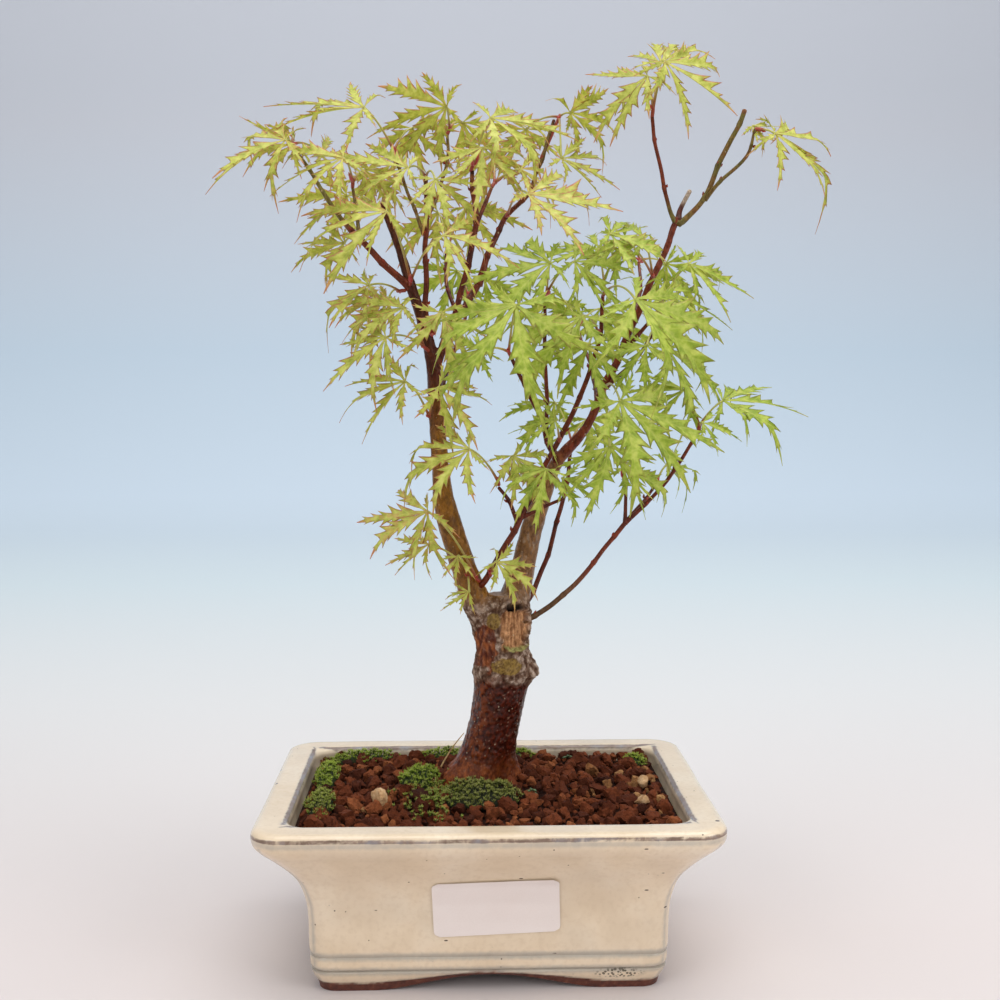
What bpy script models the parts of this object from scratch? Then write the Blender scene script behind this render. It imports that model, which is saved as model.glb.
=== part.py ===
"""A cut-leaf Japanese maple bonsai in a glazed rectangular pot.

Everything is laid out in millimetres from the middle of the pot's footprint: X runs along the pot's
front, Y towards its back and Z up from the surface it stands on. Meshes are turned into metres when
they are made, and at the end the whole is moved so that the middle of its box stands on the origin.
"""

import math
import random

import bmesh
import bpy
from mathutils import Matrix, Vector

MM = 0.001
GAP = 0.3  # left between pieces that touch
REST_GAP = 0.5  # left under loose things that lie on the curved soil

# The pot
POT_LENGTH = 168.0
POT_DEPTH = 124.0
POT_CORNER = 11.0
CORNER_SHRINK = 0.2  # how much of an inset comes off the corner's radius
POT_FLOOR = 13.0
# Each section's height and how far it is set in from the rim's outline, going up the outside
FOOT_INSIDE = [(6.5, 31.5), (0.0, 29.5)]
POT_OUTSIDE = [
    (0.0, 21.5),
    (2.5, 20.9),
    (5.0, 19.7),
    (7.6, 18.8),
    (8.3, 19.6),
    (9.0, 18.6),
    (13.2, 18.4),
    (13.9, 19.2),
    (14.6, 18.2),
    (27.0, 17.9),
    (34.0, 17.1),
    (41.5, 14.7),
    (47.6, 10.5),
    (53.4, 5.3),
    (56.6, 2.2),
    (59.4, 0.4),
    (62.5, 0.0),
    (64.2, 0.5),
    (65.0, 2.0),
]
POT_INSIDE = [
    (65.0, 9.6),
    (64.4, 11.2),
    (63.0, 12.0),
    (58.0, 12.6),
    (47.0, 18.0),
    (36.0, 23.0),
    (18.0, 24.9),
    (POT_FLOOR, 27.5),
]
ARCH_HEIGHT = 5.5
FRONT_ARCH_SPAN = 84.0
SIDE_ARCH_SPAN = 46.0
DRAIN_HOLE_X = 30.0
DRAIN_HOLE_RADIUS = 9.0

# What lies in the pot
MESH_SIDE = 27.0
MESH_THICK = 1.2
MESH_CELLS = 3
MESH_BAR = 2.2
SOIL_EDGE = 60.0
SOIL_MOUND = 5.5
MOUND_CENTRE = (-2.0, 8.0)
MOUND_SPREAD = (42.0, 30.0)

# The label on the pot's front
LABEL_SIZE = (45.7, 21.2)
LABEL_CENTRE = (2.3, 32.8)
LABEL_TILT = math.radians(2.3)
LABEL_THICK = 0.4

# The trunk's sections, from the buried root base up: centre x, y, z and half widths along X and Y
TRUNK = [
    (-2.0, 10.0, 48.0, 12.0, 10.0),
    (-2.0, 10.0, 58.0, 15.0, 12.5),
    (-2.0, 10.0, 66.0, 14.0, 12.0),
    (-0.4, 9.0, 71.0, 11.8, 10.8),
    (1.6, 8.0, 81.0, 10.4, 10.0),
    (4.0, 7.0, 91.0, 10.0, 9.6),
    (5.6, 6.0, 101.0, 10.8, 10.0),
    (6.9, 5.0, 109.0, 12.0, 10.4),
    (6.2, 4.0, 116.0, 10.9, 10.0),
    (5.6, 3.0, 125.0, 11.2, 10.0),
    (6.4, 3.0, 133.0, 10.6, 9.5),
    (8.0, 3.0, 139.0, 7.5, 7.0),
]
TRUNK_SIDES = 12
TRUNK_LUMPS = 0.05
ROOT_HOLE = (16.3, 13.8)
ROOT_HOLE_FLOOR = 47.2

# Stems, branches and twigs: points along each with its radius there. Each starts inside its parent.
BRANCHES = {
    "left_stem": [
        (2, 3, 125, 6.5), (-5, 0, 139, 5.4), (-10, -2, 153, 4.8), (-16, -4, 174, 4.6),
        (-18, -3, 192, 4.5), (-19, 0, 205, 4.3), (-20, 2, 222, 3.9), (-22, 3, 235, 3.4),
        (-26, 4, 249, 2.9), (-29, 4, 258, 2.8), (-34, 6, 274, 2.2), (-40, 8, 289, 1.9),
    ],
    "left_arm": [
        (-29, 4, 257, 2.0), (-38, 0, 265, 1.8), (-48, -4, 275, 1.6), (-53, -6, 280, 1.3),
        (-59, -8, 288, 1.1), (-65, -10, 298, 1.0), (-72, -12, 308, 0.8),
    ],
    "left_arm_twig": [(-48, -4, 275, 1.1), (-49, 2, 286, 0.9), (-51, 6, 295, 0.8)],
    "left_back_twig": [(-34, 6, 273, 1.3), (-38, 10, 284, 0.9)],
    "second_stem": [
        (-20, 2, 223, 2.4), (-15, 5, 240, 2.2), (-9, 8, 249, 2.0), (-3, 12, 259, 1.9),
        (1, 15, 270, 1.7), (4, 17, 278, 1.5), (8, 18, 286, 1.4), (17, 20, 295, 1.2),
        (20, 22, 304, 1.1), (22, 22, 309, 1.0), (27, 22, 324, 0.9),
    ],
    "red_stem": [
        (-13, 6, 243, 1.7), (-9, 0, 258, 1.6), (-7, -2, 266, 1.6), (-4, -2, 282, 1.5),
        (-5.5, -2, 293, 1.3), (-5.5, -3, 300, 1.1),
    ],
    "red_stem_stub": [(-4, -2, 280, 1.1), (2, 4, 295, 0.9)],
    "upright_stub": [
        (-23, 3, 239, 1.6), (-23, 6, 261, 1.5), (-24, 9, 276, 1.4), (-23, 10, 285, 1.3),
        (-23, 12, 300, 1.1),
    ],
    "upright_green": [(-23, 10, 284, 1.1), (-19, 20, 294, 1.0), (-15, 24, 310, 0.9), (-15, 26, 319, 0.8)],
    "upright_left": [(-24, 9, 278, 1.0), (-30, 12, 293, 0.9), (-35, 10, 307, 0.8)],
    "second_back": [(-11, 7, 247, 1.2), (-15, 14, 257, 1.1), (-16, 20, 265, 1.0), (-15.5, 24, 273, 0.8)],
    "left_rear": [(-19, 1, 213, 1.3), (-14, 22, 230, 1.2), (-9, 40, 243, 1.0), (-7, 52, 256, 0.8)],
    "right_stem": [
        (8, 4, 125, 7.5), (11, 4, 137, 6.2), (14, 5, 148, 4.8), (18, 6, 165, 4.2),
        (23.5, 6, 181, 4.1), (28, 5, 191, 3.8), (36, 4, 200, 2.9), (41, 4, 208, 2.5),
        (45, 4, 219, 2.4), (50, 4, 228, 2.3), (54, 4, 238, 2.2), (59, 4, 249, 2.1),
        (64, 5, 261, 2.0), (69, 6, 271, 1.9), (72, 6, 280, 1.9), (73.5, 6, 284, 2.2),
    ],
    "top_left": [
        (73, 6, 282, 1.2), (70.5, 5, 287, 1.1), (68, 2, 296, 1.1), (64, -2, 309, 1.0),
        (62, -4, 320, 1.0),
    ],
    "top_stub": [(74, 6, 283, 1.5), (75, 8, 287.5, 1.3), (79, 10, 295, 1.2)],
    "top_right": [
        (74, 6, 282, 1.6), (77, 6, 284, 1.5), (84, 5, 292, 1.4), (90, 4, 306, 1.4),
        (95, 3, 317, 1.3), (98, 2, 324, 1.3),
    ],
    "top_right_twig": [(84, 5, 291, 1.1), (89, 0, 297, 1.0), (98, -6, 306, 0.9), (100, -8, 315, 0.7)],
    "leader_side": [(51, 4, 230, 1.2), (58, 1, 239, 1.1), (64, 0, 246, 0.9)],
    "leader_green": [(46, 3, 219, 1.2), (57, -2, 230, 1.0), (64, -4, 241, 0.8)],
    "leader_rear": [(57, 4, 246, 1.2), (62, 24, 260, 1.0), (63, 36, 270, 0.8)],
    "right_rear": [(43, 5, 213, 1.2), (42, 28, 230, 1.1), (39, 44, 243, 0.8)],
    "front_branch": [
        (-5, 0, 141, 1.8), (-1, -5, 145, 1.7), (4, -7, 154, 1.6), (11.5, -10, 168, 1.6),
        (18.5, -12, 183, 1.5), (24, -12, 194, 1.4), (29, -12, 203, 1.4), (35, -12, 216, 1.3),
        (39, -12, 228, 1.2), (42, -12, 240, 1.1), (43, -12, 253, 0.9),
    ],
    "front_twig_left": [(11.5, -10, 168, 1.1), (7.5, -16, 177, 1.0), (4, -20, 182, 0.9)],
    "front_twig_right": [(13, -10, 170, 1.0), (28.5, -18, 178, 0.8)],
    "back_branch": [
        (13, 8, 131, 1.6), (18, 12, 137, 1.5), (21, 16, 143, 1.4), (27, 20, 159, 1.3),
        (32, 24, 177, 1.2), (35, 28, 196, 1.0),
    ],
    "low_branch": [
        (10, 0, 128, 1.8), (17.5, -1, 130, 1.5), (28, -4, 138, 1.4), (36, -7, 146.5, 1.3),
        (45, -10, 159, 1.2), (52, -12, 168, 1.3),
    ],
    "low_tip": [
        (52, -12, 168, 1.1), (59, -14, 175, 1.0), (68, -15, 185, 1.0), (76, -14, 197, 0.9),
        (79, -14, 202, 0.8),
    ],
    "low_twig_up": [(52, -12, 168, 1.0), (51.5, -18, 184, 0.9)],
    "low_twig_back": [(52, -12, 168, 0.9), (64, -4, 181, 0.8)],
    "middle_front": [(27, 4, 190, 1.3), (19, -12, 209, 1.2), (13, -22, 220, 1.1), (8, -30, 230, 0.9)],
    "middle_up": [
        (28, 6, 192, 1.3), (24, 8, 200, 1.2), (23, 4, 222, 1.1), (22, 0, 241, 1.0),
        (22, -3, 253, 0.8),
    ],
}

# Leafy shoots: the growing point on the wood, then each leaf as the point where its stalk meets the
# blade, the compass heading of its middle lobe (0 is +X, 90 is +Y), its droop in degrees and the
# middle lobe's length.
SHOOTS = {
    "left_tip": ((-72, -12, 308), [
        ((-73, -18, 308), -170, 22, 33), ((-63, 9, 308), 15, 18, 26), ((-75, 21, 314), 160, 6, 24),
    ]),
    "left_green": ((-51, 6, 295), [((-52, -22, 301), -158, 14, 30), ((-47, 15, 303), 35, 14, 20)]),
    "left_inner": ((-35, 10, 307), [((-46, 2, 324), 178, 12, 37), ((-29, 24, 321), 80, 15, 26)]),
    "left_bud": ((-48, -4, 275), [((-55, 14, 275), 165, 30, 22)]),
    "left_node": ((-29, 1, 258), [((-36, -30, 281), -166, 32, 40), ((-16, -36, 272), -15, 22, 27)]),
    "left_side": ((-31, 3, 256), [((-44, -8, 257), -172, 30, 26), ((-39, 26, 254), 140, 30, 28)]),
    "left_side_low": ((-21, 3, 232), [((-31, -16, 248), -172, 16, 27), ((-37, -24, 237), -150, 42, 30)]),
    "left_front": ((-21, -1, 239), [((-17, -24, 246), -80, 66, 25)]),
    "left_mid": ((-22, -5, 208), [((-30, -24, 221), -170, 28, 28), ((-18, -27, 219), -44, 45, 26)]),
    "left_low": ((-3, -6, 145), [((-22, -28, 174), -150, 40, 30), ((-22, -20, 161), -165, 35, 17)]),
    "left_low_small": ((-7, -6, 147), [((-11, -22, 157), -95, 50, 11), ((-7, -18, 143), -140, 30, 12)]),
    "fork_small": ((1, -6, 147), [((3, -24, 155), -28, 28, 21)]),
    "twig_pair": ((4, -20, 183), [((-7, -36, 197), -166, 30, 32), ((9, -24, 194), -60, 42, 24)]),
    "twig_bud": ((29, -18, 179), [((27, -26, 186), -30, 42, 17), ((20, -40, 190), -125, 42, 22)]),
    "top_stub": ((-23, 12, 300), [((-29, -14, 299), 172, 8, 30), ((-19, -20, 294), -70, 58, 24)]),
    "top_green": ((-15, 26, 319), [((-15, 14, 327), 172, 10, 34), ((-9, 42, 327), 70, 20, 28)]),
    "top_red": ((-6, -3, 300), [((1, -14, 317), -12, 24, 35), ((-2, -22, 305), -85, 52, 25)]),
    "top_right": ((22, 22, 309), [
        ((33, 18, 326), -8, 34, 27), ((29, 10, 307), -5, 22, 26), ((17, 40, 324), 110, 15, 28),
    ]),
    "top_mid": ((2, 4, 295), [((4, 27, 312), 105, 14, 28), ((13, 4, 302), 10, 40, 24)]),
    "top_front": ((8, 18, 286), [((14, -32, 287), -14, 30, 36)]),
    "top_back": ((-15, 24, 273), [((-19, 44, 291), 125, 25, 28), ((-7, 48, 294), 60, 28, 28)]),
    "left_back": ((-38, 10, 284), [((-56, 40, 297), 150, 20, 28), ((-44, 46, 307), 100, 25, 26)]),
    "mid_front": ((8, -30, 230), [((9, -50, 247), -115, 52, 45), ((-3, -40, 232), -150, 48, 24)]),
    "mid_top": ((22, -3, 253), [((22, -32, 263), -174, 18, 34), ((31, -27, 264), -25, 36, 27)]),
    "mid_right": ((42, -12, 240), [((33, -36, 244), -132, 48, 36), ((36, -30, 234), -80, 60, 28)]),
    "mid_low": ((27, -14, 199), [((24, -30, 207), -178, 30, 19)]),
    "mid_high": ((43, -12, 253), [((50, -50, 249), -42, 44, 44), ((42, -6, 271), 165, 20, 25)]),
    "leader_front": ((64, 2, 261), [((58, -16, 273), 176, 10, 22), ((43, -34, 273), -4, 16, 29)]),
    "leader_side": ((64, 0, 246), [((75, -12, 265), -20, 36, 28), ((65, -22, 254), -8, 24, 30)]),
    "leader_green": ((64, -4, 241), [((67, -16, 233), -30, 46, 34), ((57, -30, 234), -125, 44, 22)]),
    "right_mid": ((45, 1, 219), [((46, -42, 214), -50, 48, 42), ((43, -38, 198), -95, 56, 27)]),
    "right_up": ((51, -18, 184), [((49, -30, 190), -32, 46, 24)]),
    "right_tip": ((79, -14, 202), [
        ((75, -6, 218), -160, 36, 28), ((88, -14, 214), -4, 6, 31), ((79, -22, 206), -30, 25, 15),
    ]),
    "right_twig": ((64, -4, 181), [((70, 4, 189), 20, 36, 21)]),
    "top_cluster": ((62, -4, 320), [
        ((66, -8, 339), -32, 42, 33), ((57, -12, 333), -160, 36, 31), ((67, 8, 343), 70, -18, 25),
    ]),
    "right_end": ((100, -8, 315), [((107, -10, 313), -18, 36, 36), ((100, -4, 317), -60, 30, 12)]),
    "back_left": ((-7, 52, 256), [((-11, 62, 269), 115, 28, 30), ((0, 60, 266), 55, 28, 26)]),
    "back_mid": ((39, 44, 243), [((34, 54, 256), 120, 26, 32), ((50, 60, 253), 58, 28, 32)]),
    "back_right": ((63, 36, 270), [((59, 46, 281), 130, 18, 28), ((76, 48, 271), 45, 34, 28)]),
    "back_low": ((35, 28, 196), [((44, 48, 206), 60, 26, 30), ((30, 52, 213), 120, 30, 30)]),
}
LEAN = 0.8  # how far every blade leans out to the light, towards the tree's front or back
FRONT_HALF = 12.0  # blades whose stalks end nearer than this lean to the front
LOBE_ANGLES = (0.0, 32.0, 66.0, 106.0)
LOBE_LENGTHS = (1.0, 0.9, 0.68, 0.4)
SINUS = 0.26  # how far in the cuts between lobes reach, as a share of the middle lobe
LOBE_FALL = 0.3  # how far a lobe's tip hangs below its blade's plane, as a share of its length
BLADE_THICK = 0.5
STALK_RADIUS = 0.45
BUD_RADIUS = 1.3

# Moss clumps: centre x and y, half widths along X and Y, height
MOSS = {
    "back_left": (-50.0, 40.0, 14.0, 4.6, 4.0),
    "left": (-64.0, 18.0, 4.2, 16.0, 5.0),
    "front_left": (-63.5, -17.0, 4.8, 13.0, 5.0),
    "left_of_trunk": (-27.0, 5.0, 8.0, 9.0, 5.0),
    "front_of_trunk": (-3.0, -15.0, 15.0, 9.0, 5.5),
    "behind_trunk": (-17.0, 41.0, 10.0, 4.0, 3.0),
    "behind_trunk_right": (14.0, 41.0, 6.0, 4.0, 2.6),
    "right_corner": (63.0, 34.0, 4.5, 6.0, 3.0),
}
# Larger stones: centre x and y, and mean diameter
TAN_STONES = {"left": (-41.0, -19.0, 6.4), "right": (62.0, 4.0, 6.0), "right_front": (59.0, -16.0, 5.4)}
SEEDLINGS = {"front": (17.0, -11.0, 3.0), "back": (35.0, 39.0, 4.0)}
DRY_STALK = [(-18.0, -5.5, 72.6), (-16.0, -4.6, 76.0), (-12.5, -3.4, 81.0), (-9.0, -2.0, 85.0)]
DRY_STALK_RADIUS = 0.4


# ---- materials


def principled(name, colour, roughness, coat=0.0):
    """One Principled material of its own for each piece."""
    material = bpy.data.materials.new(name)
    material.use_nodes = True
    shader = material.node_tree.nodes["Principled BSDF"]
    shader.inputs["Base Color"].default_value = (*colour, 1.0)
    shader.inputs["Roughness"].default_value = roughness
    shader.inputs["Metallic"].default_value = 0.0
    shader.inputs["Coat Weight"].default_value = coat
    material.diffuse_color = (*colour, 1.0)
    return material


# ---- mesh helpers: a shape is a list of points in millimetres and a list of faces


def add_object(name, shape, material, parent):
    points, faces = shape
    mesh = bpy.data.meshes.new(name)
    mesh.from_pydata([Vector(p) * MM for p in points], [], faces)
    mesh.materials.append(material)
    thing = bpy.data.objects.new(name, mesh)
    bpy.context.scene.collection.objects.link(thing)
    thing.parent = parent
    return thing


def smooth(thing, angle=40.0):
    thing.data.shade_smooth()
    thing.data.set_sharp_from_angle(angle=math.radians(angle))


def loft(rings):
    """Closes a stack of rings, each with the same number of points, with a face at each end."""
    count = len(rings[0])
    points = [p for ring in rings for p in ring]
    faces = [tuple(reversed(range(count)))]
    for level in range(len(rings) - 1):
        low = level * count
        high = low + count
        for i in range(count):
            j = (i + 1) % count
            faces.append((low + i, low + j, high + j, high + i))
    top = (len(rings) - 1) * count
    faces.append(tuple(range(top, top + count)))
    return points, faces


def rounded_rectangle(half_x, half_y, radius, z, corner_steps=5, side_steps=0):
    """A ring of points, anticlockwise seen from above, with extra points along its sides if asked."""
    corners = [
        (half_x - radius, half_y - radius, 0.0),
        (radius - half_x, half_y - radius, 90.0),
        (radius - half_x, radius - half_y, 180.0),
        (half_x - radius, radius - half_y, 270.0),
    ]
    ring = []
    for x, y, start in corners:
        for step in range(corner_steps + 1):
            angle = math.radians(start + 90.0 * step / corner_steps)
            ring.append(Vector((x + radius * math.cos(angle), y + radius * math.sin(angle), z)))
    if not side_steps:
        return ring
    full = []
    for i, point in enumerate(ring):
        full.append(point)
        following = ring[(i + 1) % len(ring)]
        if (i + 1) % (corner_steps + 1) == 0:
            full += [point.lerp(following, k / side_steps) for k in range(1, side_steps)]
    return full


def tube(path, radii, sides):
    """A closed tube along a path, with its flat ends square to it."""
    points = [Vector(p) for p in path]
    side = None
    rings = []
    for i, point in enumerate(points):
        ahead = points[min(i + 1, len(points) - 1)]
        behind = points[max(i - 1, 0)]
        along = (ahead - behind).normalized()
        if side is None:
            side = along.orthogonal().normalized()
        side = (side - along * side.dot(along)).normalized()
        across = along.cross(side)
        ring = []
        for k in range(sides):
            angle = math.tau * k / sides
            ring.append(point + (side * math.cos(angle) + across * math.sin(angle)) * radii[i])
        rings.append(ring)
    return loft(rings)


def nugget(radius, seed, squash=1.0, subdivisions=1, rough=0.0):
    """A small rough lump around the origin."""
    lump = bmesh.new()
    bmesh.ops.create_icosphere(lump, subdivisions=subdivisions, radius=radius)
    chance = random.Random(seed)
    for vertex in lump.verts:
        vertex.co *= 1.0 + rough * chance.uniform(-1.0, 1.0)
        vertex.co.z *= squash
    shape = [v.co.copy() for v in lump.verts], [tuple(v.index for v in f.verts) for f in lump.faces]
    lump.free()
    return shape


def moved(shape, by):
    points, faces = shape
    return [Vector(p) + Vector(by) for p in points], faces


def united(name, shapes, material, parent):
    """One solid object from overlapping closed shapes."""
    thing = add_object(name, shapes[0], material, parent)
    others = bpy.data.collections.new(name + ".others")
    for i, shape in enumerate(shapes[1:]):
        other = add_object(f"{name}.{i}", shape, material, parent)
        bpy.context.scene.collection.objects.unlink(other)
        others.objects.link(other)
    bpy.context.scene.collection.children.link(others)
    join = thing.modifiers.new("join", "BOOLEAN")
    join.operation = "UNION"
    join.solver = "EXACT"
    join.operand_type = "COLLECTION"
    join.collection = others
    apply_modifiers(thing)
    for other in list(others.objects):
        bpy.data.objects.remove(other)
    bpy.data.collections.remove(others)
    return thing


def apply_modifiers(thing):
    evaluated = thing.evaluated_get(bpy.context.evaluated_depsgraph_get())
    made = bpy.data.meshes.new_from_object(evaluated)
    thing.modifiers.clear()
    thing.data = made


def cut(thing, cutters, parent):
    """Takes closed shapes away from an object."""
    for i, shape in enumerate(cutters):
        cutter = add_object(f"{thing.name}.cutter.{i}", shape, thing.data.materials[0], parent)
        cutter.hide_render = True
        cutter.display_type = "WIRE"
        hole = thing.modifiers.new(f"cut {i}", "BOOLEAN")
        hole.operation = "DIFFERENCE"
        hole.solver = "EXACT"
        hole.object = cutter


# ---- the pot and what lies in it


def inset_at(profile, height):
    """The inset of a profile at a height, between its listed sections."""
    for (low, inset_low), (high, inset_high) in zip(profile, profile[1:]):
        if min(low, high) <= height <= max(low, high) and low != high:
            share = (height - low) / (high - low)
            return inset_low + share * (inset_high - inset_low)
    raise ValueError(f"no section at height {height}")


def pot_section(height, inset, corner_steps=5, side_steps=0):
    radius = POT_CORNER - CORNER_SHRINK * inset
    half_x = POT_LENGTH / 2 - inset
    half_y = POT_DEPTH / 2 - inset
    return rounded_rectangle(half_x, half_y, radius, height, corner_steps, side_steps)


def upright_disc(radius_x, radius_z, length, along_y):
    """A flat ellipse across X or Y at the height of the resting surface, run right through the pot."""
    ends = []
    for end in (-length / 2, length / 2):
        ring = []
        for k in range(24):
            angle = math.tau * k / 24
            wide = radius_x * math.cos(angle)
            high = radius_z * math.sin(angle)
            ring.append(Vector((-wide, end, high)) if along_y else Vector((end, wide, high)))
        ends.append(ring)
    return loft(ends)


def make_pot(parent):
    sections = FOOT_INSIDE + POT_OUTSIDE + POT_INSIDE
    pot = add_object(
        "pot",
        loft([pot_section(height, inset) for height, inset in sections]),
        principled("cream_glaze", (0.72, 0.60, 0.46), 0.25, coat=0.6),
        parent,
    )
    through = 2 * POT_LENGTH
    cutters = [
        upright_disc(FRONT_ARCH_SPAN / 2, ARCH_HEIGHT, through, along_y=True),
        upright_disc(SIDE_ARCH_SPAN / 2, ARCH_HEIGHT, through, along_y=False),
    ]
    for x in (-DRAIN_HOLE_X, DRAIN_HOLE_X):
        cutters.append(tube([(x, 0, -2), (x, 0, POT_FLOOR + 6)], [DRAIN_HOLE_RADIUS] * 2, 24))
    cut(pot, cutters, parent)
    smooth(pot, 35.0)


def make_label(parent):
    """A thin sheet that follows the pot's front, set off it by the gap."""
    half_x, half_z = LABEL_SIZE[0] / 2, LABEL_SIZE[1] / 2
    rows = 6
    rings = []
    for row in range(rows + 1):
        along = -half_z + 2 * half_z * row / rows
        corners = []
        for across in (-half_x, half_x):
            x = LABEL_CENTRE[0] + across * math.cos(LABEL_TILT) - along * math.sin(LABEL_TILT)
            z = LABEL_CENTRE[1] + across * math.sin(LABEL_TILT) + along * math.cos(LABEL_TILT)
            y = inset_at(POT_OUTSIDE, z) - POT_DEPTH / 2
            corners.append(Vector((x, y, z)))
        back = [c - Vector((0, GAP, 0)) for c in corners]
        front = [c - Vector((0, GAP + LABEL_THICK, 0)) for c in corners]
        rings.append([front[0], front[1], back[1], back[0]])
    add_object("label", loft(rings), principled("label_paper", (0.80, 0.69, 0.64), 0.5), parent)


def make_drain_mesh(name, x, parent):
    """A square plate of plastic netting lying over a drain hole."""
    low = POT_FLOOR + GAP
    half = MESH_SIDE / 2
    plate = rounded_rectangle(half, half, 1.0, low, corner_steps=1)
    lid = [p + Vector((0, 0, MESH_THICK)) for p in plate]
    colour = principled(name + "_plastic", (0.03, 0.03, 0.03), 0.6)
    netting = add_object(name, moved(loft([plate, lid]), (x, 0, 0)), colour, parent)
    pitch = (MESH_SIDE - MESH_BAR) / MESH_CELLS
    hole_half = (pitch - MESH_BAR) / 2
    cutters = []
    for i in range(MESH_CELLS):
        for j in range(MESH_CELLS):
            middle_x = x + (i - (MESH_CELLS - 1) / 2) * pitch
            middle_y = (j - (MESH_CELLS - 1) / 2) * pitch
            base = rounded_rectangle(hole_half, hole_half, 0.4, low - 1, corner_steps=1)
            top = [p + Vector((0, 0, MESH_THICK + 2)) for p in base]
            cutters.append(moved(loft([base, top]), (middle_x, middle_y, 0)))
    cut(netting, cutters, parent)


def soil_height(x, y):
    """The soil's surface: level at the walls, with a low mound around the trunk."""
    away_x = (x - MOUND_CENTRE[0]) / MOUND_SPREAD[0]
    away_y = (y - MOUND_CENTRE[1]) / MOUND_SPREAD[1]
    return SOIL_EDGE + SOIL_MOUND * math.exp(-away_x * away_x - away_y * away_y)


def make_soil(parent):
    """Fills the pot inside its walls and over the drain meshes, with a hole for the root base."""
    steps = {"corner_steps": 3, "side_steps": 6}
    floor = POT_FLOOR + 2 * GAP + MESH_THICK
    heights = (floor, 18.0, 36.0, 47.0, 58.0, SOIL_EDGE)
    rings = [pot_section(z, inset_at(POT_INSIDE[2:], z) + GAP, **steps) for z in heights]
    edge = rings[-1]
    hole = []
    for point in edge:
        angle = math.atan2(point.y - TRUNK[0][1], point.x - TRUNK[0][0])
        x = TRUNK[0][0] + ROOT_HOLE[0] * math.cos(angle)
        y = TRUNK[0][1] + ROOT_HOLE[1] * math.sin(angle)
        hole.append(Vector((x, y, 0)))
    for share in (0.12, 0.3, 0.5, 0.7, 0.86, 1.0):
        ring = []
        for outer, inner in zip(edge, hole):
            x, y = outer.xy.lerp(inner.xy, share)
            ring.append(Vector((x, y, soil_height(x, y))))
        rings.append(ring)
    rings.append([Vector((p.x, p.y, ROOT_HOLE_FLOOR)) for p in hole])
    soil = add_object("soil", loft(rings), principled("soil_grains", (0.13, 0.045, 0.018), 0.95), parent)
    smooth(soil)


def make_moss(name, x, y, half_x, half_y, height, seed, parent):
    """A cushion whose underside follows the soil."""
    chance = random.Random(seed)
    count = 14
    wobble = [1.0 + chance.uniform(-0.12, 0.12) for _ in range(count)]
    levels = [(0.0, 0.45), (0.0, 0.9), (0.25, 1.0), (0.7, 0.8), (0.95, 0.45), (1.0, 0.15)]
    rings = []
    for up, out in levels:
        ring = []
        for k in range(count):
            angle = math.tau * k / count
            px = x + half_x * out * wobble[k] * math.cos(angle)
            py = y + half_y * out * wobble[k] * math.sin(angle)
            ring.append(Vector((px, py, soil_height(px, py) + REST_GAP + up * height)))
        rings.append(ring)
    colour = principled("moss_" + name, (0.06, 0.075, 0.012), 0.9)
    smooth(add_object("moss_" + name, loft(rings), colour, parent), 80.0)


def make_stone(name, x, y, diameter, seed, parent):
    """A rough pebble standing on the soil by its lowest point."""
    shape = moved(nugget(diameter / 2, seed, squash=0.8, subdivisions=2, rough=0.09), (x, y, 0))
    lift = max(soil_height(p.x, p.y) - p.z for p in shape[0]) + REST_GAP
    colour = principled("tan_stone_" + name, (0.38, 0.21, 0.10), 0.9)
    add_object("tan_stone_" + name, moved(shape, (0, 0, lift)), colour, parent)


def make_seedling(name, x, y, size, seed, parent):
    """A rosette of three blunt leaves on a short stem."""
    base = soil_height(x, y) + REST_GAP
    chance = random.Random(seed)
    stem = tube([(x, y, base), (x, y, base + size * 0.8)], [0.5, 0.45], 5)
    shapes = [stem]
    for k in range(3):
        heading = math.tau * k / 3 + chance.uniform(-0.3, 0.3)
        tip = Vector((math.cos(heading), math.sin(heading), 0.35)) * size
        start = Vector((x, y, base + size * 0.6))
        path = [start, start + tip * 0.5, start + tip]
        shapes.append(tube(path, [0.3, 0.9, 0.3], 5))
    united("seedling_" + name, shapes, principled("seedling_" + name, (0.12, 0.18, 0.08), 0.6), parent)


def make_dry_stalk(parent):
    radii = [DRY_STALK_RADIUS] * len(DRY_STALK)
    colour = principled("dry_stalk", (0.30, 0.20, 0.10), 0.8)
    smooth(add_object("dry_stalk", tube(DRY_STALK, radii, 6), colour, parent), 80.0)


# ---- the tree


def trunk_shape():
    chance = random.Random(7)
    rings = []
    for x, y, z, half_x, half_y in TRUNK:
        ring = []
        for k in range(TRUNK_SIDES):
            angle = math.tau * k / TRUNK_SIDES
            reach = 1.0 + chance.uniform(-TRUNK_LUMPS, TRUNK_LUMPS)
            px = x + half_x * reach * math.cos(angle)
            py = y + half_y * reach * math.sin(angle)
            ring.append(Vector((px, py, z)))
        rings.append(ring)
    return loft(rings)


def sides_for(radius):
    if radius > 3.0:
        return 9
    return 6 if radius > 1.5 else 5


def make_tree(parent):
    shapes = [trunk_shape()]
    for points in BRANCHES.values():
        path = [p[:3] for p in points]
        radii = [p[3] for p in points]
        shapes.append(tube(path, radii, sides_for(radii[0])))
    smooth(united("tree_wood", shapes, principled("maple_bark", (0.16, 0.08, 0.04), 0.6), parent))


def wood_distance(point):
    """How far a point is outside the branches' bark, and the nearest point on a branch's middle line."""
    best = (math.inf, point)
    for points in BRANCHES.values():
        for first, second in zip(points, points[1:]):
            start, end = Vector(first[:3]), Vector(second[:3])
            run = end - start
            share = max(0.0, min(1.0, (point - start).dot(run) / run.length_squared))
            nearest = start + run * share
            radius = first[3] + share * (second[3] - first[3])
            best = min(best, ((point - nearest).length - radius, nearest), key=lambda b: b[0])
    return best


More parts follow.
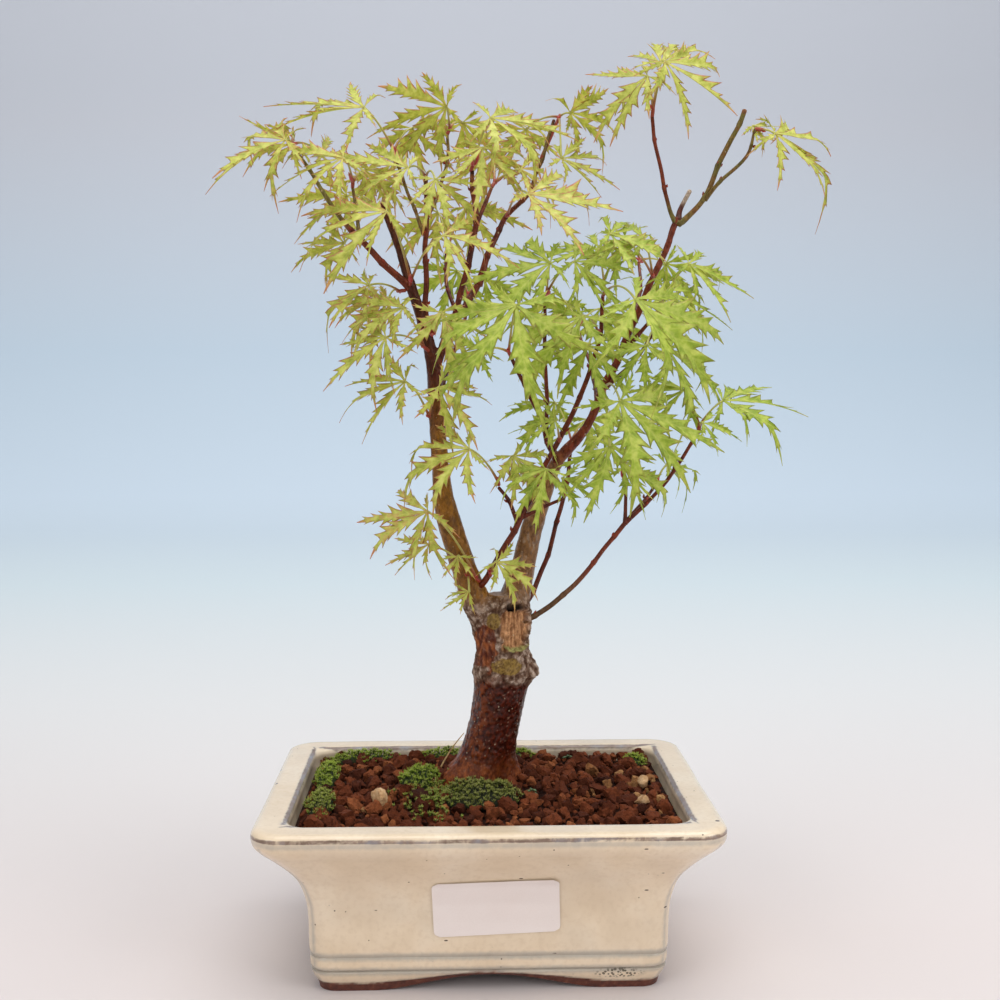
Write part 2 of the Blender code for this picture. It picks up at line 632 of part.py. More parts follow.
def bud_place(growing_point, leaves):
    """The bud's middle: just clear of the bark, on the side that its leaves are on."""
    start = Vector(growing_point)
    middle = sum((Vector(leaf[0]) for leaf in leaves), Vector()) / len(leaves)
    towards = (middle - start).normalized()
    step = 0.25
    place = start.copy()
    while wood_distance(place)[0] < BUD_RADIUS + 2 * GAP:
        place += towards * step
    return place


def blade_frame(hub, heading, droop):
    """The blade's own axes: X along its middle lobe, Z out of its upper face."""
    compass = math.radians(heading)
    along = Vector((math.cos(compass), math.sin(compass), 0.0))
    outward = -LEAN if hub[1] < FRONT_HALF else LEAN
    normal = along * math.tan(math.radians(droop)) + Vector((0.0, outward, 1.0))
    normal.normalize()
    along = (along - normal * along.dot(normal)).normalized()
    across = normal.cross(along)
    turn = Matrix((along, across, normal)).transposed()
    return Matrix.Translation(hub) @ turn.to_4x4()


def blade_shape(hub, heading, droop, span):
    """A thin seven-lobed leaf blade whose lobes hang at their tips."""
    lobes = [(-a, length) for a, length in zip(LOBE_ANGLES, LOBE_LENGTHS)][:0:-1]
    lobes += list(zip(LOBE_ANGLES, LOBE_LENGTHS))
    outline = []
    for i, (angle, length) in enumerate(lobes):
        if i:
            middle = math.radians((lobes[i - 1][0] + angle) / 2)
            reach = SINUS * span * max(0.5, min(length, lobes[i - 1][1]))
            outline.append(Vector((reach * math.cos(middle), reach * math.sin(middle), 0.0)))
        heading_in = math.radians(angle)
        tip = Vector((math.cos(heading_in), math.sin(heading_in), 0.0)) * length * span
        tip.z = -LOBE_FALL * length * span
        outline.append(tip)
    outline.append(Vector((-0.1 * span, 0.0, 0.0)))
    count = len(outline)
    half = Vector((0.0, 0.0, BLADE_THICK / 2))
    middle = Vector((0.06 * span, 0.0, 0.0))
    points = [middle + half, middle - half]
    points += [p + half for p in outline] + [p - half for p in outline]
    faces = []
    for i in range(count):
        j = (i + 1) % count
        faces.append((0, 2 + i, 2 + j))
        faces.append((1, 2 + count + j, 2 + count + i))
        faces.append((2 + i, 2 + count + i, 2 + count + j, 2 + j))
    place = blade_frame(hub, heading, droop)
    return [place @ p for p in points], faces


def stalk_path(bud, hub):
    """A leaf stalk that leaves its bud steeply and arrives behind its blade."""
    start, end = Vector(bud), Vector(hub)
    reach = (end - start).length
    lift = Vector((0.0, 0.0, 0.18 * reach))
    return [start, start.lerp(end, 0.5) + lift, end]


def make_shoot(name, growing_point, leaves, parent):
    bud = bud_place(growing_point, leaves)
    shapes = [moved(nugget(BUD_RADIUS, 0), bud)]
    for hub, heading, droop, span in leaves:
        path = stalk_path(bud, hub)
        shapes.append(tube(path, [STALK_RADIUS] * len(path), 3))
        shapes.append(blade_shape(hub, heading, droop, span))
    colour = principled("shoot_" + name, (0.36, 0.42, 0.07), 0.5)
    united("shoot_" + name, shapes, colour, parent)


# ---- the whole


def stand_on_origin(root):
    """Moves the whole so that the middle of its box, at its lowest point, is the origin."""
    bpy.context.view_layer.update()
    corners = []
    for thing in root.children:
        if not thing.hide_render:
            corners += [thing.matrix_world @ v.co for v in thing.data.vertices]
    low = Vector(min(c[i] for c in corners) for i in range(3))
    high = Vector(max(c[i] for c in corners) for i in range(3))
    root.location = (-(low.x + high.x) / 2, -(low.y + high.y) / 2, -low.z)


def main():
    for thing in list(bpy.data.objects):
        bpy.data.objects.remove(thing)
    root = bpy.data.objects.new("bonsai", None)
    bpy.context.scene.collection.objects.link(root)
    make_pot(root)
    make_label(root)
    make_drain_mesh("drain_mesh_left", -DRAIN_HOLE_X, root)
    make_drain_mesh("drain_mesh_right", DRAIN_HOLE_X, root)
    make_soil(root)
    for seed, (name, sizes) in enumerate(MOSS.items()):
        make_moss(name, *sizes, seed, root)
    for seed, (name, sizes) in enumerate(TAN_STONES.items()):
        make_stone(name, *sizes, seed, root)
    for seed, (name, sizes) in enumerate(SEEDLINGS.items()):
        make_seedling(name, *sizes, seed, root)
    make_dry_stalk(root)
    make_tree(root)
    for name, (growing_point, leaves) in SHOOTS.items():
        make_shoot(name, growing_point, leaves, root)
    stand_on_origin(root)


main()
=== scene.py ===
import math
import random

import bmesh
import bpy
import numpy as np
from mathutils import Matrix, Vector, noise


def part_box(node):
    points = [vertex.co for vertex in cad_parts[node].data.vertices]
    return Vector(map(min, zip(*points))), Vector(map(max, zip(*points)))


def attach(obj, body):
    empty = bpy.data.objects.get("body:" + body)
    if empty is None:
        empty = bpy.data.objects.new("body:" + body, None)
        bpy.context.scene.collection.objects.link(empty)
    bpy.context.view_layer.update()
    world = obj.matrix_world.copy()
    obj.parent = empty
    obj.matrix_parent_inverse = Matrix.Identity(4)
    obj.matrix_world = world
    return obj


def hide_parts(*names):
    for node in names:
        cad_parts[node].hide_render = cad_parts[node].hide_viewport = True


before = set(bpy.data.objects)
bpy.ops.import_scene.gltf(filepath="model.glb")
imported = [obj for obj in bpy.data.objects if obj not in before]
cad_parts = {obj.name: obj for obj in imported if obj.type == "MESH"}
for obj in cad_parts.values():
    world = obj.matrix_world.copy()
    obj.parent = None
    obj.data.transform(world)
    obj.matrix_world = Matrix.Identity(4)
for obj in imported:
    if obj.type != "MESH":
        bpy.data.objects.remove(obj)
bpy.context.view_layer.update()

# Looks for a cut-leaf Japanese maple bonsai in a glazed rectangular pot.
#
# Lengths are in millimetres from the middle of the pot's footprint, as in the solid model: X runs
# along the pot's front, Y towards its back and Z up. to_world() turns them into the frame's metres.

MM = 0.001
POT_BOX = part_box("pot")
SHIFT = np.array([(POT_BOX[0].x + POT_BOX[1].x) / 2, (POT_BOX[0].y + POT_BOX[1].y) / 2, 0.0]) / MM

# ---- the solid model's own measures

POT_LENGTH = 168.0
POT_DEPTH = 124.0
POT_CORNER = 11.0
CORNER_SHRINK = 0.2
POT_FLOOR = 13.0
FOOT_INSIDE = [(6.5, 31.5), (0.0, 29.5)]
# Heights, and how far the wall is inside the pot's outline there
POT_OUTSIDE = [
    (0.0, 21.5), (2.5, 20.9), (5.0, 19.7), (7.6, 18.8), (8.3, 19.6), (9.0, 18.6), (13.2, 18.4),
    (13.9, 19.2), (14.6, 18.2), (27.0, 17.9), (34.0, 17.1), (41.5, 14.7), (47.6, 10.5), (53.4, 5.3),
    (56.6, 2.2), (59.4, 0.4), (62.5, 0.0), (64.2, 0.5), (65.0, 2.0),
]
POT_INSIDE = [
    (65.0, 9.6), (64.4, 11.2), (63.0, 12.0), (58.0, 12.6), (47.0, 18.0), (36.0, 23.0),
    (18.0, 24.9), (POT_FLOOR, 27.5),
]
ARCH_HEIGHT = 5.5  # of the low arches that leave a foot at each corner
FRONT_ARCH_SPAN = 84.0
SIDE_ARCH_SPAN = 46.0
DRAIN_HOLE_X = 30.0
DRAIN_HOLE_RADIUS = 9.0
SOIL_EDGE = 60.0
SOIL_MOUND = 5.5
MOUND_CENTRE = (-2.0, 8.0)
MOUND_SPREAD = (42.0, 30.0)
LABEL_SIZE = (45.7, 21.2)
LABEL_CENTRE = (2.3, 32.8)
LABEL_TILT = math.radians(2.3)
GROOVE_HEIGHTS = (8.3, 13.9)
STAIN = (47.0, 6.4, 9.0, 1.9)  # a dark blotch low on the front: X, Z and half sizes
# Middle X and Y, height, and half sizes along X and Y
TRUNK = [
    (-2.0, 10.0, 48.0, 12.0, 10.0), (-2.0, 10.0, 58.0, 15.0, 12.5), (-2.0, 10.0, 66.0, 14.0, 12.0),
    (-0.4, 9.0, 71.0, 11.8, 10.8), (1.6, 8.0, 81.0, 10.4, 10.0), (4.0, 7.0, 91.0, 10.0, 9.6),
    (5.6, 6.0, 101.0, 10.8, 10.0), (6.9, 5.0, 109.0, 12.0, 10.4), (6.2, 4.0, 116.0, 10.9, 10.0),
    (5.6, 3.0, 125.0, 11.2, 10.0), (6.4, 3.0, 133.0, 10.6, 9.5), (8.0, 3.0, 139.0, 7.5, 7.0),
]
# Points along each branch with its radius there
BRANCHES = {
    "left_stem": [
        (2, 3, 125, 6.5), (-5, 0, 139, 5.4), (-10, -2, 153, 4.8), (-16, -4, 174, 4.6),
        (-18, -3, 192, 4.5), (-19, 0, 205, 4.3), (-20, 2, 222, 3.9), (-22, 3, 235, 3.4),
        (-26, 4, 249, 2.9), (-29, 4, 258, 2.8), (-34, 6, 274, 2.2), (-40, 8, 289, 1.9),
    ],
    "left_arm": [
        (-29, 4, 257, 2.0), (-38, 0, 265, 1.8), (-48, -4, 275, 1.6), (-53, -6, 280, 1.3),
        (-59, -8, 288, 1.1), (-65, -10, 298, 1.0), (-72, -12, 308, 0.8),
    ],
    "left_arm_twig": [(-48, -4, 275, 1.1), (-49, 2, 286, 0.9), (-51, 6, 295, 0.8)],
    "left_back_twig": [(-34, 6, 273, 1.3), (-38, 10, 284, 0.9)],
    "second_stem": [
        (-20, 2, 223, 2.4), (-15, 5, 240, 2.2), (-9, 8, 249, 2.0), (-3, 12, 259, 1.9),
        (1, 15, 270, 1.7), (4, 17, 278, 1.5), (8, 18, 286, 1.4), (17, 20, 295, 1.2),
        (20, 22, 304, 1.1), (22, 22, 309, 1.0), (27, 22, 324, 0.9),
    ],
    "red_stem": [
        (-13, 6, 243, 1.7), (-9, 0, 258, 1.6), (-7, -2, 266, 1.6), (-4, -2, 282, 1.5),
        (-5.5, -2, 293, 1.3), (-5.5, -3, 300, 1.1),
    ],
    "red_stem_stub": [(-4, -2, 280, 1.1), (2, 4, 295, 0.9)],
    "upright_stub": [
        (-23, 3, 239, 1.6), (-23, 6, 261, 1.5), (-24, 9, 276, 1.4), (-23, 10, 285, 1.3),
        (-23, 12, 300, 1.1),
    ],
    "upright_green": [(-23, 10, 284, 1.1), (-19, 20, 294, 1.0), (-15, 24, 310, 0.9), (-15, 26, 319, 0.8)],
    "upright_left": [(-24, 9, 278, 1.0), (-30, 12, 293, 0.9), (-35, 10, 307, 0.8)],
    "second_back": [(-11, 7, 247, 1.2), (-15, 14, 257, 1.1), (-16, 20, 265, 1.0), (-15.5, 24, 273, 0.8)],
    "left_rear": [(-19, 1, 213, 1.3), (-14, 22, 230, 1.2), (-9, 40, 243, 1.0), (-7, 52, 256, 0.8)],
    "right_stem": [
        (8, 4, 125, 7.5), (11, 4, 137, 6.2), (14, 5, 148, 4.8), (18, 6, 165, 4.2),
        (23.5, 6, 181, 4.1), (28, 5, 191, 3.8), (36, 4, 200, 2.9), (41, 4, 208, 2.5),
        (45, 4, 219, 2.4), (50, 4, 228, 2.3), (54, 4, 238, 2.2), (59, 4, 249, 2.1),
        (64, 5, 261, 2.0), (69, 6, 271, 1.9), (72, 6, 280, 1.9), (73.5, 6, 284, 2.2),
    ],
    "top_left": [
        (73, 6, 282, 1.2), (70.5, 5, 287, 1.1), (68, 2, 296, 1.1), (64, -2, 309, 1.0),
        (62, -4, 320, 1.0),
    ],
    "top_stub": [(74, 6, 283, 1.5), (75, 8, 287.5, 1.3), (79, 10, 295, 1.2)],
    "top_right": [
        (74, 6, 282, 1.6), (77, 6, 284, 1.5), (84, 5, 292, 1.4), (90, 4, 306, 1.4),
        (95, 3, 317, 1.3), (98, 2, 324, 1.3),
    ],
    "top_right_twig": [(84, 5, 291, 1.1), (89, 0, 297, 1.0), (98, -6, 306, 0.9), (100, -8, 315, 0.7)],
    "leader_side": [(51, 4, 230, 1.2), (58, 1, 239, 1.1), (64, 0, 246, 0.9)],
    "leader_green": [(46, 3, 219, 1.2), (57, -2, 230, 1.0), (64, -4, 241, 0.8)],
    "leader_rear": [(57, 4, 246, 1.2), (62, 24, 260, 1.0), (63, 36, 270, 0.8)],
    "right_rear": [(43, 5, 213, 1.2), (42, 28, 230, 1.1), (39, 44, 243, 0.8)],
    "front_branch": [
        (-5, 0, 141, 1.8), (-1, -5, 145, 1.7), (4, -7, 154, 1.6), (11.5, -10, 168, 1.6),
        (18.5, -12, 183, 1.5), (24, -12, 194, 1.4), (29, -12, 203, 1.4), (35, -12, 216, 1.3),
        (39, -12, 228, 1.2), (42, -12, 240, 1.1), (43, -12, 253, 0.9),
    ],
    "front_twig_left": [(11.5, -10, 168, 1.1), (7.5, -16, 177, 1.0), (4, -20, 182, 0.9)],
    "front_twig_right": [(13, -10, 170, 1.0), (28.5, -18, 178, 0.8)],
    "back_branch": [
        (13, 8, 131, 1.6), (18, 12, 137, 1.5), (21, 16, 143, 1.4), (27, 20, 159, 1.3),
        (32, 24, 177, 1.2), (35, 28, 196, 1.0),
    ],
    "low_branch": [
        (10, 0, 128, 1.8), (17.5, -1, 130, 1.5), (28, -4, 138, 1.4), (36, -7, 146.5, 1.3),
        (45, -10, 159, 1.2), (52, -12, 168, 1.3),
    ],
    "low_tip": [
        (52, -12, 168, 1.1), (59, -14, 175, 1.0), (68, -15, 185, 1.0), (76, -14, 197, 0.9),
        (79, -14, 202, 0.8),
    ],
    "low_twig_up": [(52, -12, 168, 1.0), (51.5, -18, 184, 0.9)],
    "low_twig_back": [(52, -12, 168, 0.9), (64, -4, 181, 0.8)],
    "middle_front": [(27, 4, 190, 1.3), (19, -12, 209, 1.2), (13, -22, 220, 1.1), (8, -30, 230, 0.9)],
    "middle_up": [
        (28, 6, 192, 1.3), (24, 8, 200, 1.2), (23, 4, 222, 1.1), (22, 0, 241, 1.0),
        (22, -3, 253, 0.8),
    ],
}
# Growing point, then each leaf: where its stalk ends, compass heading, droop and length
SHOOTS = {
    "left_tip": ((-72, -12, 308), [
        ((-73, -18, 308), -170, 22, 33), ((-63, 9, 308), 15, 18, 26), ((-75, 21, 314), 160, 6, 24),
    ]),
    "left_green": ((-51, 6, 295), [((-52, -22, 301), -158, 14, 30), ((-47, 15, 303), 35, 14, 20)]),
    "left_inner": ((-35, 10, 307), [((-46, 2, 324), 178, 12, 37), ((-29, 24, 321), 80, 15, 26)]),
    "left_bud": ((-48, -4, 275), [((-55, 14, 275), 165, 30, 22)]),
    "left_node": ((-29, 1, 258), [((-36, -30, 281), -166, 32, 40), ((-16, -36, 272), -15, 22, 27)]),
    "left_side": ((-31, 3, 256), [((-44, -8, 257), -172, 30, 26), ((-39, 26, 254), 140, 30, 28)]),
    "left_side_low": ((-21, 3, 232), [((-31, -16, 248), -172, 16, 27), ((-37, -24, 237), -150, 42, 30)]),
    "left_front": ((-21, -1, 239), [((-17, -24, 246), -80, 66, 25)]),
    "left_mid": ((-22, -5, 208), [((-30, -24, 221), -170, 28, 28), ((-18, -27, 219), -44, 45, 26)]),
    "left_low": ((-3, -6, 145), [((-22, -28, 174), -150, 40, 30), ((-22, -20, 161), -165, 35, 17)]),
    "left_low_small": ((-7, -6, 147), [((-11, -22, 157), -95, 50, 11), ((-7, -18, 143), -140, 30, 12)]),
    "fork_small": ((1, -6, 147), [((3, -24, 155), -28, 28, 21)]),
    "twig_pair": ((4, -20, 183), [((-7, -36, 197), -166, 30, 32), ((9, -24, 194), -60, 42, 24)]),
    "twig_bud": ((29, -18, 179), [((27, -26, 186), -30, 42, 17), ((20, -40, 190), -125, 42, 22)]),
    "top_stub": ((-23, 12, 300), [((-29, -14, 299), 172, 8, 30), ((-19, -20, 294), -70, 58, 24)]),
    "top_green": ((-15, 26, 319), [((-15, 14, 327), 172, 10, 34), ((-9, 42, 327), 70, 20, 28)]),
    "top_red": ((-6, -3, 300), [((1, -14, 317), -12, 24, 35), ((-2, -22, 305), -85, 52, 25)]),
    "top_right": ((22, 22, 309), [
        ((33, 18, 326), -8, 34, 27), ((29, 10, 307), -5, 22, 26), ((17, 40, 324), 110, 15, 28),
    ]),
    "top_mid": ((2, 4, 295), [((4, 27, 312), 105, 14, 28), ((13, 4, 302), 10, 40, 24)]),
    "top_front": ((8, 18, 286), [((14, -32, 287), -14, 30, 36)]),
    "top_back": ((-15, 24, 273), [((-19, 44, 291), 125, 25, 28), ((-7, 48, 294), 60, 28, 28)]),
    "left_back": ((-38, 10, 284), [((-56, 40, 297), 150, 20, 28), ((-44, 46, 307), 100, 25, 26)]),
    "mid_front": ((8, -30, 230), [((9, -50, 247), -115, 52, 45), ((-3, -40, 232), -150, 48, 24)]),
    "mid_top": ((22, -3, 253), [((22, -32, 263), -174, 18, 34), ((31, -27, 264), -25, 36, 27)]),
    "mid_right": ((42, -12, 240), [((33, -36, 244), -132, 48, 36), ((36, -30, 234), -80, 60, 28)]),
    "mid_low": ((27, -14, 199), [((24, -30, 207), -178, 30, 19)]),
    "mid_high": ((43, -12, 253), [((50, -50, 249), -42, 44, 44), ((42, -6, 271), 165, 20, 25)]),
    "leader_front": ((64, 2, 261), [((58, -16, 273), 176, 10, 22), ((43, -34, 273), -4, 16, 29)]),
    "leader_side": ((64, 0, 246), [((75, -12, 265), -20, 36, 28), ((65, -22, 254), -8, 24, 30)]),
    "leader_green": ((64, -4, 241), [((67, -16, 233), -30, 46, 34), ((57, -30, 234), -125, 44, 22)]),
    "right_mid": ((45, 1, 219), [((46, -42, 214), -50, 48, 42), ((43, -38, 198), -95, 56, 27)]),
    "right_up": ((51, -18, 184), [((49, -30, 190), -32, 46, 24)]),
    "right_tip": ((79, -14, 202), [
        ((75, -6, 218), -160, 36, 28), ((88, -14, 214), -4, 6, 31), ((79, -22, 206), -30, 25, 15),
    ]),
    "right_twig": ((64, -4, 181), [((70, 4, 189), 20, 36, 21)]),
    "top_cluster": ((62, -4, 320), [
        ((66, -8, 339), -32, 42, 30), ((59, -12, 333), -160, 36, 27), ((67, 8, 343), 70, -18, 25),
    ]),
    "right_end": ((100, -8, 315), [((107, -10, 313), -18, 36, 36), ((100, -4, 317), -60, 30, 12)]),
    "back_left": ((-7, 52, 256), [((-11, 62, 269), 115, 28, 30), ((0, 60, 266), 55, 28, 26)]),
    "back_mid": ((39, 44, 243), [((34, 54, 256), 120, 26, 32), ((50, 60, 253), 58, 28, 32)]),
    "back_right": ((63, 36, 270), [((59, 46, 281), 130, 18, 28), ((76, 48, 271), 45, 34, 28)]),
    "back_low": ((35, 28, 196), [((44, 48, 206), 60, 26, 30), ((30, 52, 213), 120, 30, 30)]),
}
LEAN = 0.8  # how far a blade's face leans out from level
FRONT_HALF = 12.0  # leaves in front of this lean towards the front, and the rest towards the back
LOBE_ANGLES = (0.0, 32.0, 66.0, 106.0)
LOBE_LENGTHS = (1.0, 0.9, 0.68, 0.4)
BUD_RADIUS = 1.3
GAP = 0.3
# Middle X and Y, half sizes along X and Y, and height
MOSS = {
    "back_left": (-50.0, 40.0, 14.0, 4.6, 4.0),
    "left": (-64.0, 18.0, 4.2, 16.0, 5.0),
    "front_left": (-63.5, -17.0, 4.8, 13.0, 5.0),
    "left_of_trunk": (-27.0, 5.0, 8.0, 9.0, 5.0),
    "front_of_trunk": (-3.0, -15.0, 15.0, 9.0, 5.5),
    "behind_trunk": (-17.0, 41.0, 10.0, 4.0, 3.0),
    "behind_trunk_right": (14.0, 41.0, 6.0, 4.0, 2.6),
    "right_corner": (63.0, 34.0, 4.5, 6.0, 3.0),
}
# Place and size
TAN_STONES = {"left": (-41.0, -19.0, 6.4), "right": (62.0, 4.0, 6.0), "right_front": (59.0, -16.0, 5.4)}
SEEDLINGS = {"front": (17.0, -11.0, 3.0), "back": (35.0, 39.0, 4.0)}
DRY_STALK = [(-18.0, -5.5, 72.6), (-16.0, -4.6, 76.0), (-12.5, -3.4, 81.0), (-9.0, -2.0, 85.0)]


# ---- colours and node materials

PAINT = "paint"  # the name of the four numbers that a piece carries at each point for its material
PLAIN = (0, 0, 0, 1)  # paint where the material reads none, and the start of what is painted later


def srgb(red, green, blue):
    """A colour named by its usual 0 to 255 values, as linear light."""
    linear = []
    for value in (red, green, blue):
        share = value / 255
        linear.append(share / 12.92 if share <= 0.04045 else ((share + 0.055) / 1.055) ** 2.4)
    return tuple(linear)


def feature(size_mm):
    """The scale that gives a texture features about this many millimetres across."""
    return 1.0 / (size_mm * MM)


class Material:
    """A Principled material and short ways to add the nodes that drive it."""

    def __init__(self, name, roughness=0.5, **sockets):
        self.material = bpy.data.materials.new(name)
        self.material.use_nodes = True
        self.tree = self.material.node_tree
        self.shader = self.tree.nodes["Principled BSDF"]
        self.shader.inputs["Roughness"].default_value = roughness
        for socket, value in sockets.items():
            self.shader.inputs[socket.replace("_", " ")].default_value = value
        self.place = self.node("TexCoord")["Object"]

    def put(self, value, socket):
        """Links a node's output to a socket, or sets the socket to a plain value."""
        if isinstance(value, bpy.types.NodeSocket):
            self.tree.links.new(value, socket)
        elif isinstance(value, tuple) and len(value) == 3 and socket.type == "RGBA":
            socket.default_value = (*value, 1.0)
        else:
            socket.default_value = value

    def node(self, kind, inputs=None, **settings):
        """Adds a node with these settings and inputs, and gives its outputs."""
        node = self.tree.nodes.new("ShaderNode" + kind)
        for setting, value in settings.items():
            setattr(node, setting, value)
        for socket, value in (inputs or {}).items():
            self.put(value, node.inputs[socket])
        return node.outputs

    def to(self, value, socket):
        """Drives one of the shader's own sockets."""
        self.put(value, self.shader.inputs[socket])

    def stretched(self, x, y, z):
        """Object coordinates scaled along each axis."""
        return self.node("Mapping", {"Scale": (x, y, z), "Vector": self.place})["Vector"]

    def noise(self, size_mm, detail=4.0, rough=0.55, distort=0.0, place=None):
        """Soft noise from 0 to 1."""
        return self.node("TexNoise", {
            "Vector": place or self.place, "Scale": feature(size_mm), "Detail": detail,
            "Roughness": rough, "Distortion": distort,
        })["Fac"]

    def cells(self, size_mm, place=None):
        """Distance to the nearest of many scattered points."""
        inputs = {"Vector": place or self.place, "Scale": feature(size_mm)}
        return self.node("TexVoronoi", inputs)["Distance"]

    def step(self, value, low, high, start=0.0, end=1.0):
        """Runs smoothly from start to end while value goes from low to high."""
        return self.node("MapRange", {
            "Value": value, "From Min": low, "From Max": high, "To Min": start, "To Max": end,
        }, interpolation_type="SMOOTHSTEP")["Result"]

    def maths(self, operation, first, second=0.0):
        return self.node("Math", {0: first, 1: second}, operation=operation)[0]

    def plus(self, first, second):
        return self.maths("ADD", first, second)

    def times(self, first, second):
        return self.maths("MULTIPLY", first, second)

    def mix(self, share, first, second, blend="MIX"):
        """A colour between two others."""
        inputs = {"Factor": share, 6: first, 7: second}
        return self.node("Mix", inputs, data_type="RGBA", blend_type=blend)[2]

    def ramp(self, value, stops):
        """A colour from a row of places and colours."""
        node = self.tree.nodes.new("ShaderNodeValToRGB")
        while len(node.color_ramp.elements) < len(stops):
            node.color_ramp.elements.new(0.5)
        for element, (position, colour) in zip(node.color_ramp.elements, stops):
            element.position = position
            element.color = (*colour, 1.0)
        self.put(value, node.inputs["Fac"])
        return node.outputs["Color"]

    def painted(self):
        """The piece's painted colour, and its fourth number."""
        outputs = self.node("Attribute", attribute_name=PAINT)
        return outputs["Color"], outputs["Alpha"]

    def channels(self, colour):
        """A colour's three numbers."""
        outputs = self.node("SeparateColor", {"Color": colour})
        return outputs["Red"], outputs["Green"], outputs["Blue"]

    def bump(self, height, strength, distance_mm, below=None):
        """A surface normal with this relief, on top of the relief below it."""
        inputs = {"Strength": strength, "Distance": distance_mm * MM, "Height": height}
        if below is not None:
            inputs["Normal"] = below
        return self.node("Bump", inputs)["Normal"]

    def let_light_through(self, colour, share):
        """Mixes in light that comes through from the far side."""
        through = self.node("BsdfTranslucent", {"Color": colour})["BSDF"]
        both = self.node("MixShader", {"Fac": share, 1: self.shader.outputs["BSDF"], 2: through})
        self.put(both["Shader"], self.tree.nodes["Material Output"].inputs["Surface"])


def glaze_material():
    """Cream glaze. Paint holds edges where it runs thin, grooves with painted shade at the vertical
    corners and under the rim, bare clay, and last a stain.
    """
    m = Material("cream_glaze", roughness=0.25, Coat_Weight=0.35, Coat_Roughness=0.15)
    paint, stain = m.painted()
    edge, groove_and_shade, bare = m.channels(paint)
    cloud = m.noise(24.0, detail=3.0)
    cream = m.ramp(cloud, [
        (0.3, srgb(225, 204, 175)), (0.52, srgb(232, 213, 186)), (0.75, srgb(236, 221, 198)),
    ])
    mottle = m.noise(1.8, detail=3.0)
    cream = m.mix(m.step(mottle, 0.42, 0.75, 0.0, 0.3), cream, srgb(208, 184, 154))
    thin = m.step(m.noise(42.0, detail=2.0), 0.52, 0.68, 0.0, 0.35)
    cream = m.mix(thin, cream, srgb(206, 186, 160))
    run = m.noise(4.0, detail=5.0, rough=0.65, distort=0.8)
    # grey-blue at the grooves, and painted shade down the vertical corners and under the rim
    blue = m.step(m.plus(groove_and_shade, m.times(run, 0.6)), 0.5, 1.3, 0.0, 0.62)
    colour = m.mix(blue, cream, m.mix(m.noise(6.0), srgb(168, 170, 168), srgb(128, 126, 124)))
    edge_lit = m.step(m.plus(edge, m.times(run, 0.7)), 0.85, 1.2, 0.0, 0.9)
    brown = m.ramp(m.noise(9.0, detail=3.0), [
        (0.32, srgb(84, 58, 46)), (0.5, srgb(122, 98, 86)), (0.7, srgb(124, 124, 134)),
    ])
    colour = m.mix(edge_lit, colour, brown)
    speck = m.step(m.cells(5.0), 0.075, 0.045)
    dark = m.step(m.noise(17.0, detail=1.0), 0.45, 0.55)
    colour = m.mix(m.times(m.times(speck, 0.85), dark), colour, srgb(58, 40, 30))
    crack = m.step(m.cells(13.0, place=m.stretched(1.0, 1.0, 2.6)), 0.075, 0.055)
    crack = m.times(crack, m.step(m.noise(26.0, detail=0.0), 0.5, 0.55))
    colour = m.mix(m.times(crack, 0.9), colour, srgb(52, 34, 26))
    grime = m.times(m.step(m.cells(1.1), 0.52, 0.36), m.step(stain, 0.2, 0.6))
    colour = m.mix(m.times(grime, 0.85), colour, srgb(60, 54, 38))
    clay = m.ramp(m.noise(2.2, detail=6.0), [
        (0.3, srgb(70, 30, 19)), (0.55, srgb(98, 48, 32)), (0.75, srgb(124, 72, 50)),
    ])
    colour = m.mix(bare, colour, clay)
    m.to(colour, "Base Color")
    m.to(m.step(bare, 0.0, 1.0, 0.22, 0.85), "Roughness")
    grain = m.times(m.noise(0.5, detail=3.0), bare)
    wave = m.bump(m.noise(9.0, detail=2.0), 0.25, 0.35)
    m.to(m.bump(grain, 0.6, 0.25, below=wave), "Normal")
    return m.material


def label_material():
    """Satin paper with faint flecks."""
    m = Material("label_paper", roughness=0.42)
    fleck = m.noise(0.35, detail=2.0)
    warm = m.noise(14.0, detail=2.0)
    colour = m.mix(warm, srgb(236, 224, 219), srgb(242, 233, 229))
    m.to(m.mix(m.step(fleck, 0.3, 0.7, 0.0, 0.12), colour, srgb(214, 198, 190)), "Base Color")
    m.to(m.bump(fleck, 0.15, 0.05), "Normal")
    return m.material


def plastic_material():
    """Matte black netting."""
    m = Material("drain_plastic", roughness=0.55)
    m.to(m.mix(m.noise(3.0), (0.018, 0.018, 0.018), (0.04, 0.04, 0.042)), "Base Color")
    m.to(m.bump(m.noise(0.6), 0.2, 0.05), "Normal")
    return m.material


def soil_material():
    """Baked clay and lava grains. Paint holds a grain's tone, how ochre it is, and how deep it lies for
    painted shade below the grains.
    """
    m = Material("soil_grains", roughness=0.9, Specular_IOR_Level=0.2)
    shade, ochre, deep_shade = m.channels(m.painted()[0])
    red = m.ramp(shade, [
        (0.0, srgb(52, 20, 9)), (0.35, srgb(88, 40, 20)), (0.7, srgb(122, 62, 34)),
        (1.0, srgb(156, 92, 54)),
    ])
    tan = m.ramp(shade, [(0.0, srgb(134, 84, 46)), (1.0, srgb(196, 150, 100))])
    colour = m.mix(ochre, red, tan)
    patch = m.noise(1.6, detail=5.0, rough=0.7)
    colour = m.mix(m.step(patch, 0.38, 0.7, 0.0, 0.6), colour, srgb(54, 22, 10))
    dust = m.noise(0.8, detail=3.0)
    colour = m.mix(m.step(dust, 0.55, 0.85, 0.0, 0.25), colour, srgb(168, 108, 66))
    # painted shade: the bed below the grains goes near black
    colour = m.mix(deep_shade, colour, srgb(28, 11, 6))
    m.to(colour, "Base Color")
    pores = m.bump(m.cells(1.0), 0.6, 0.5)
    m.to(m.bump(m.noise(0.55, detail=6.0, rough=0.75), 0.8, 0.4, below=pores), "Normal")
    return m.material


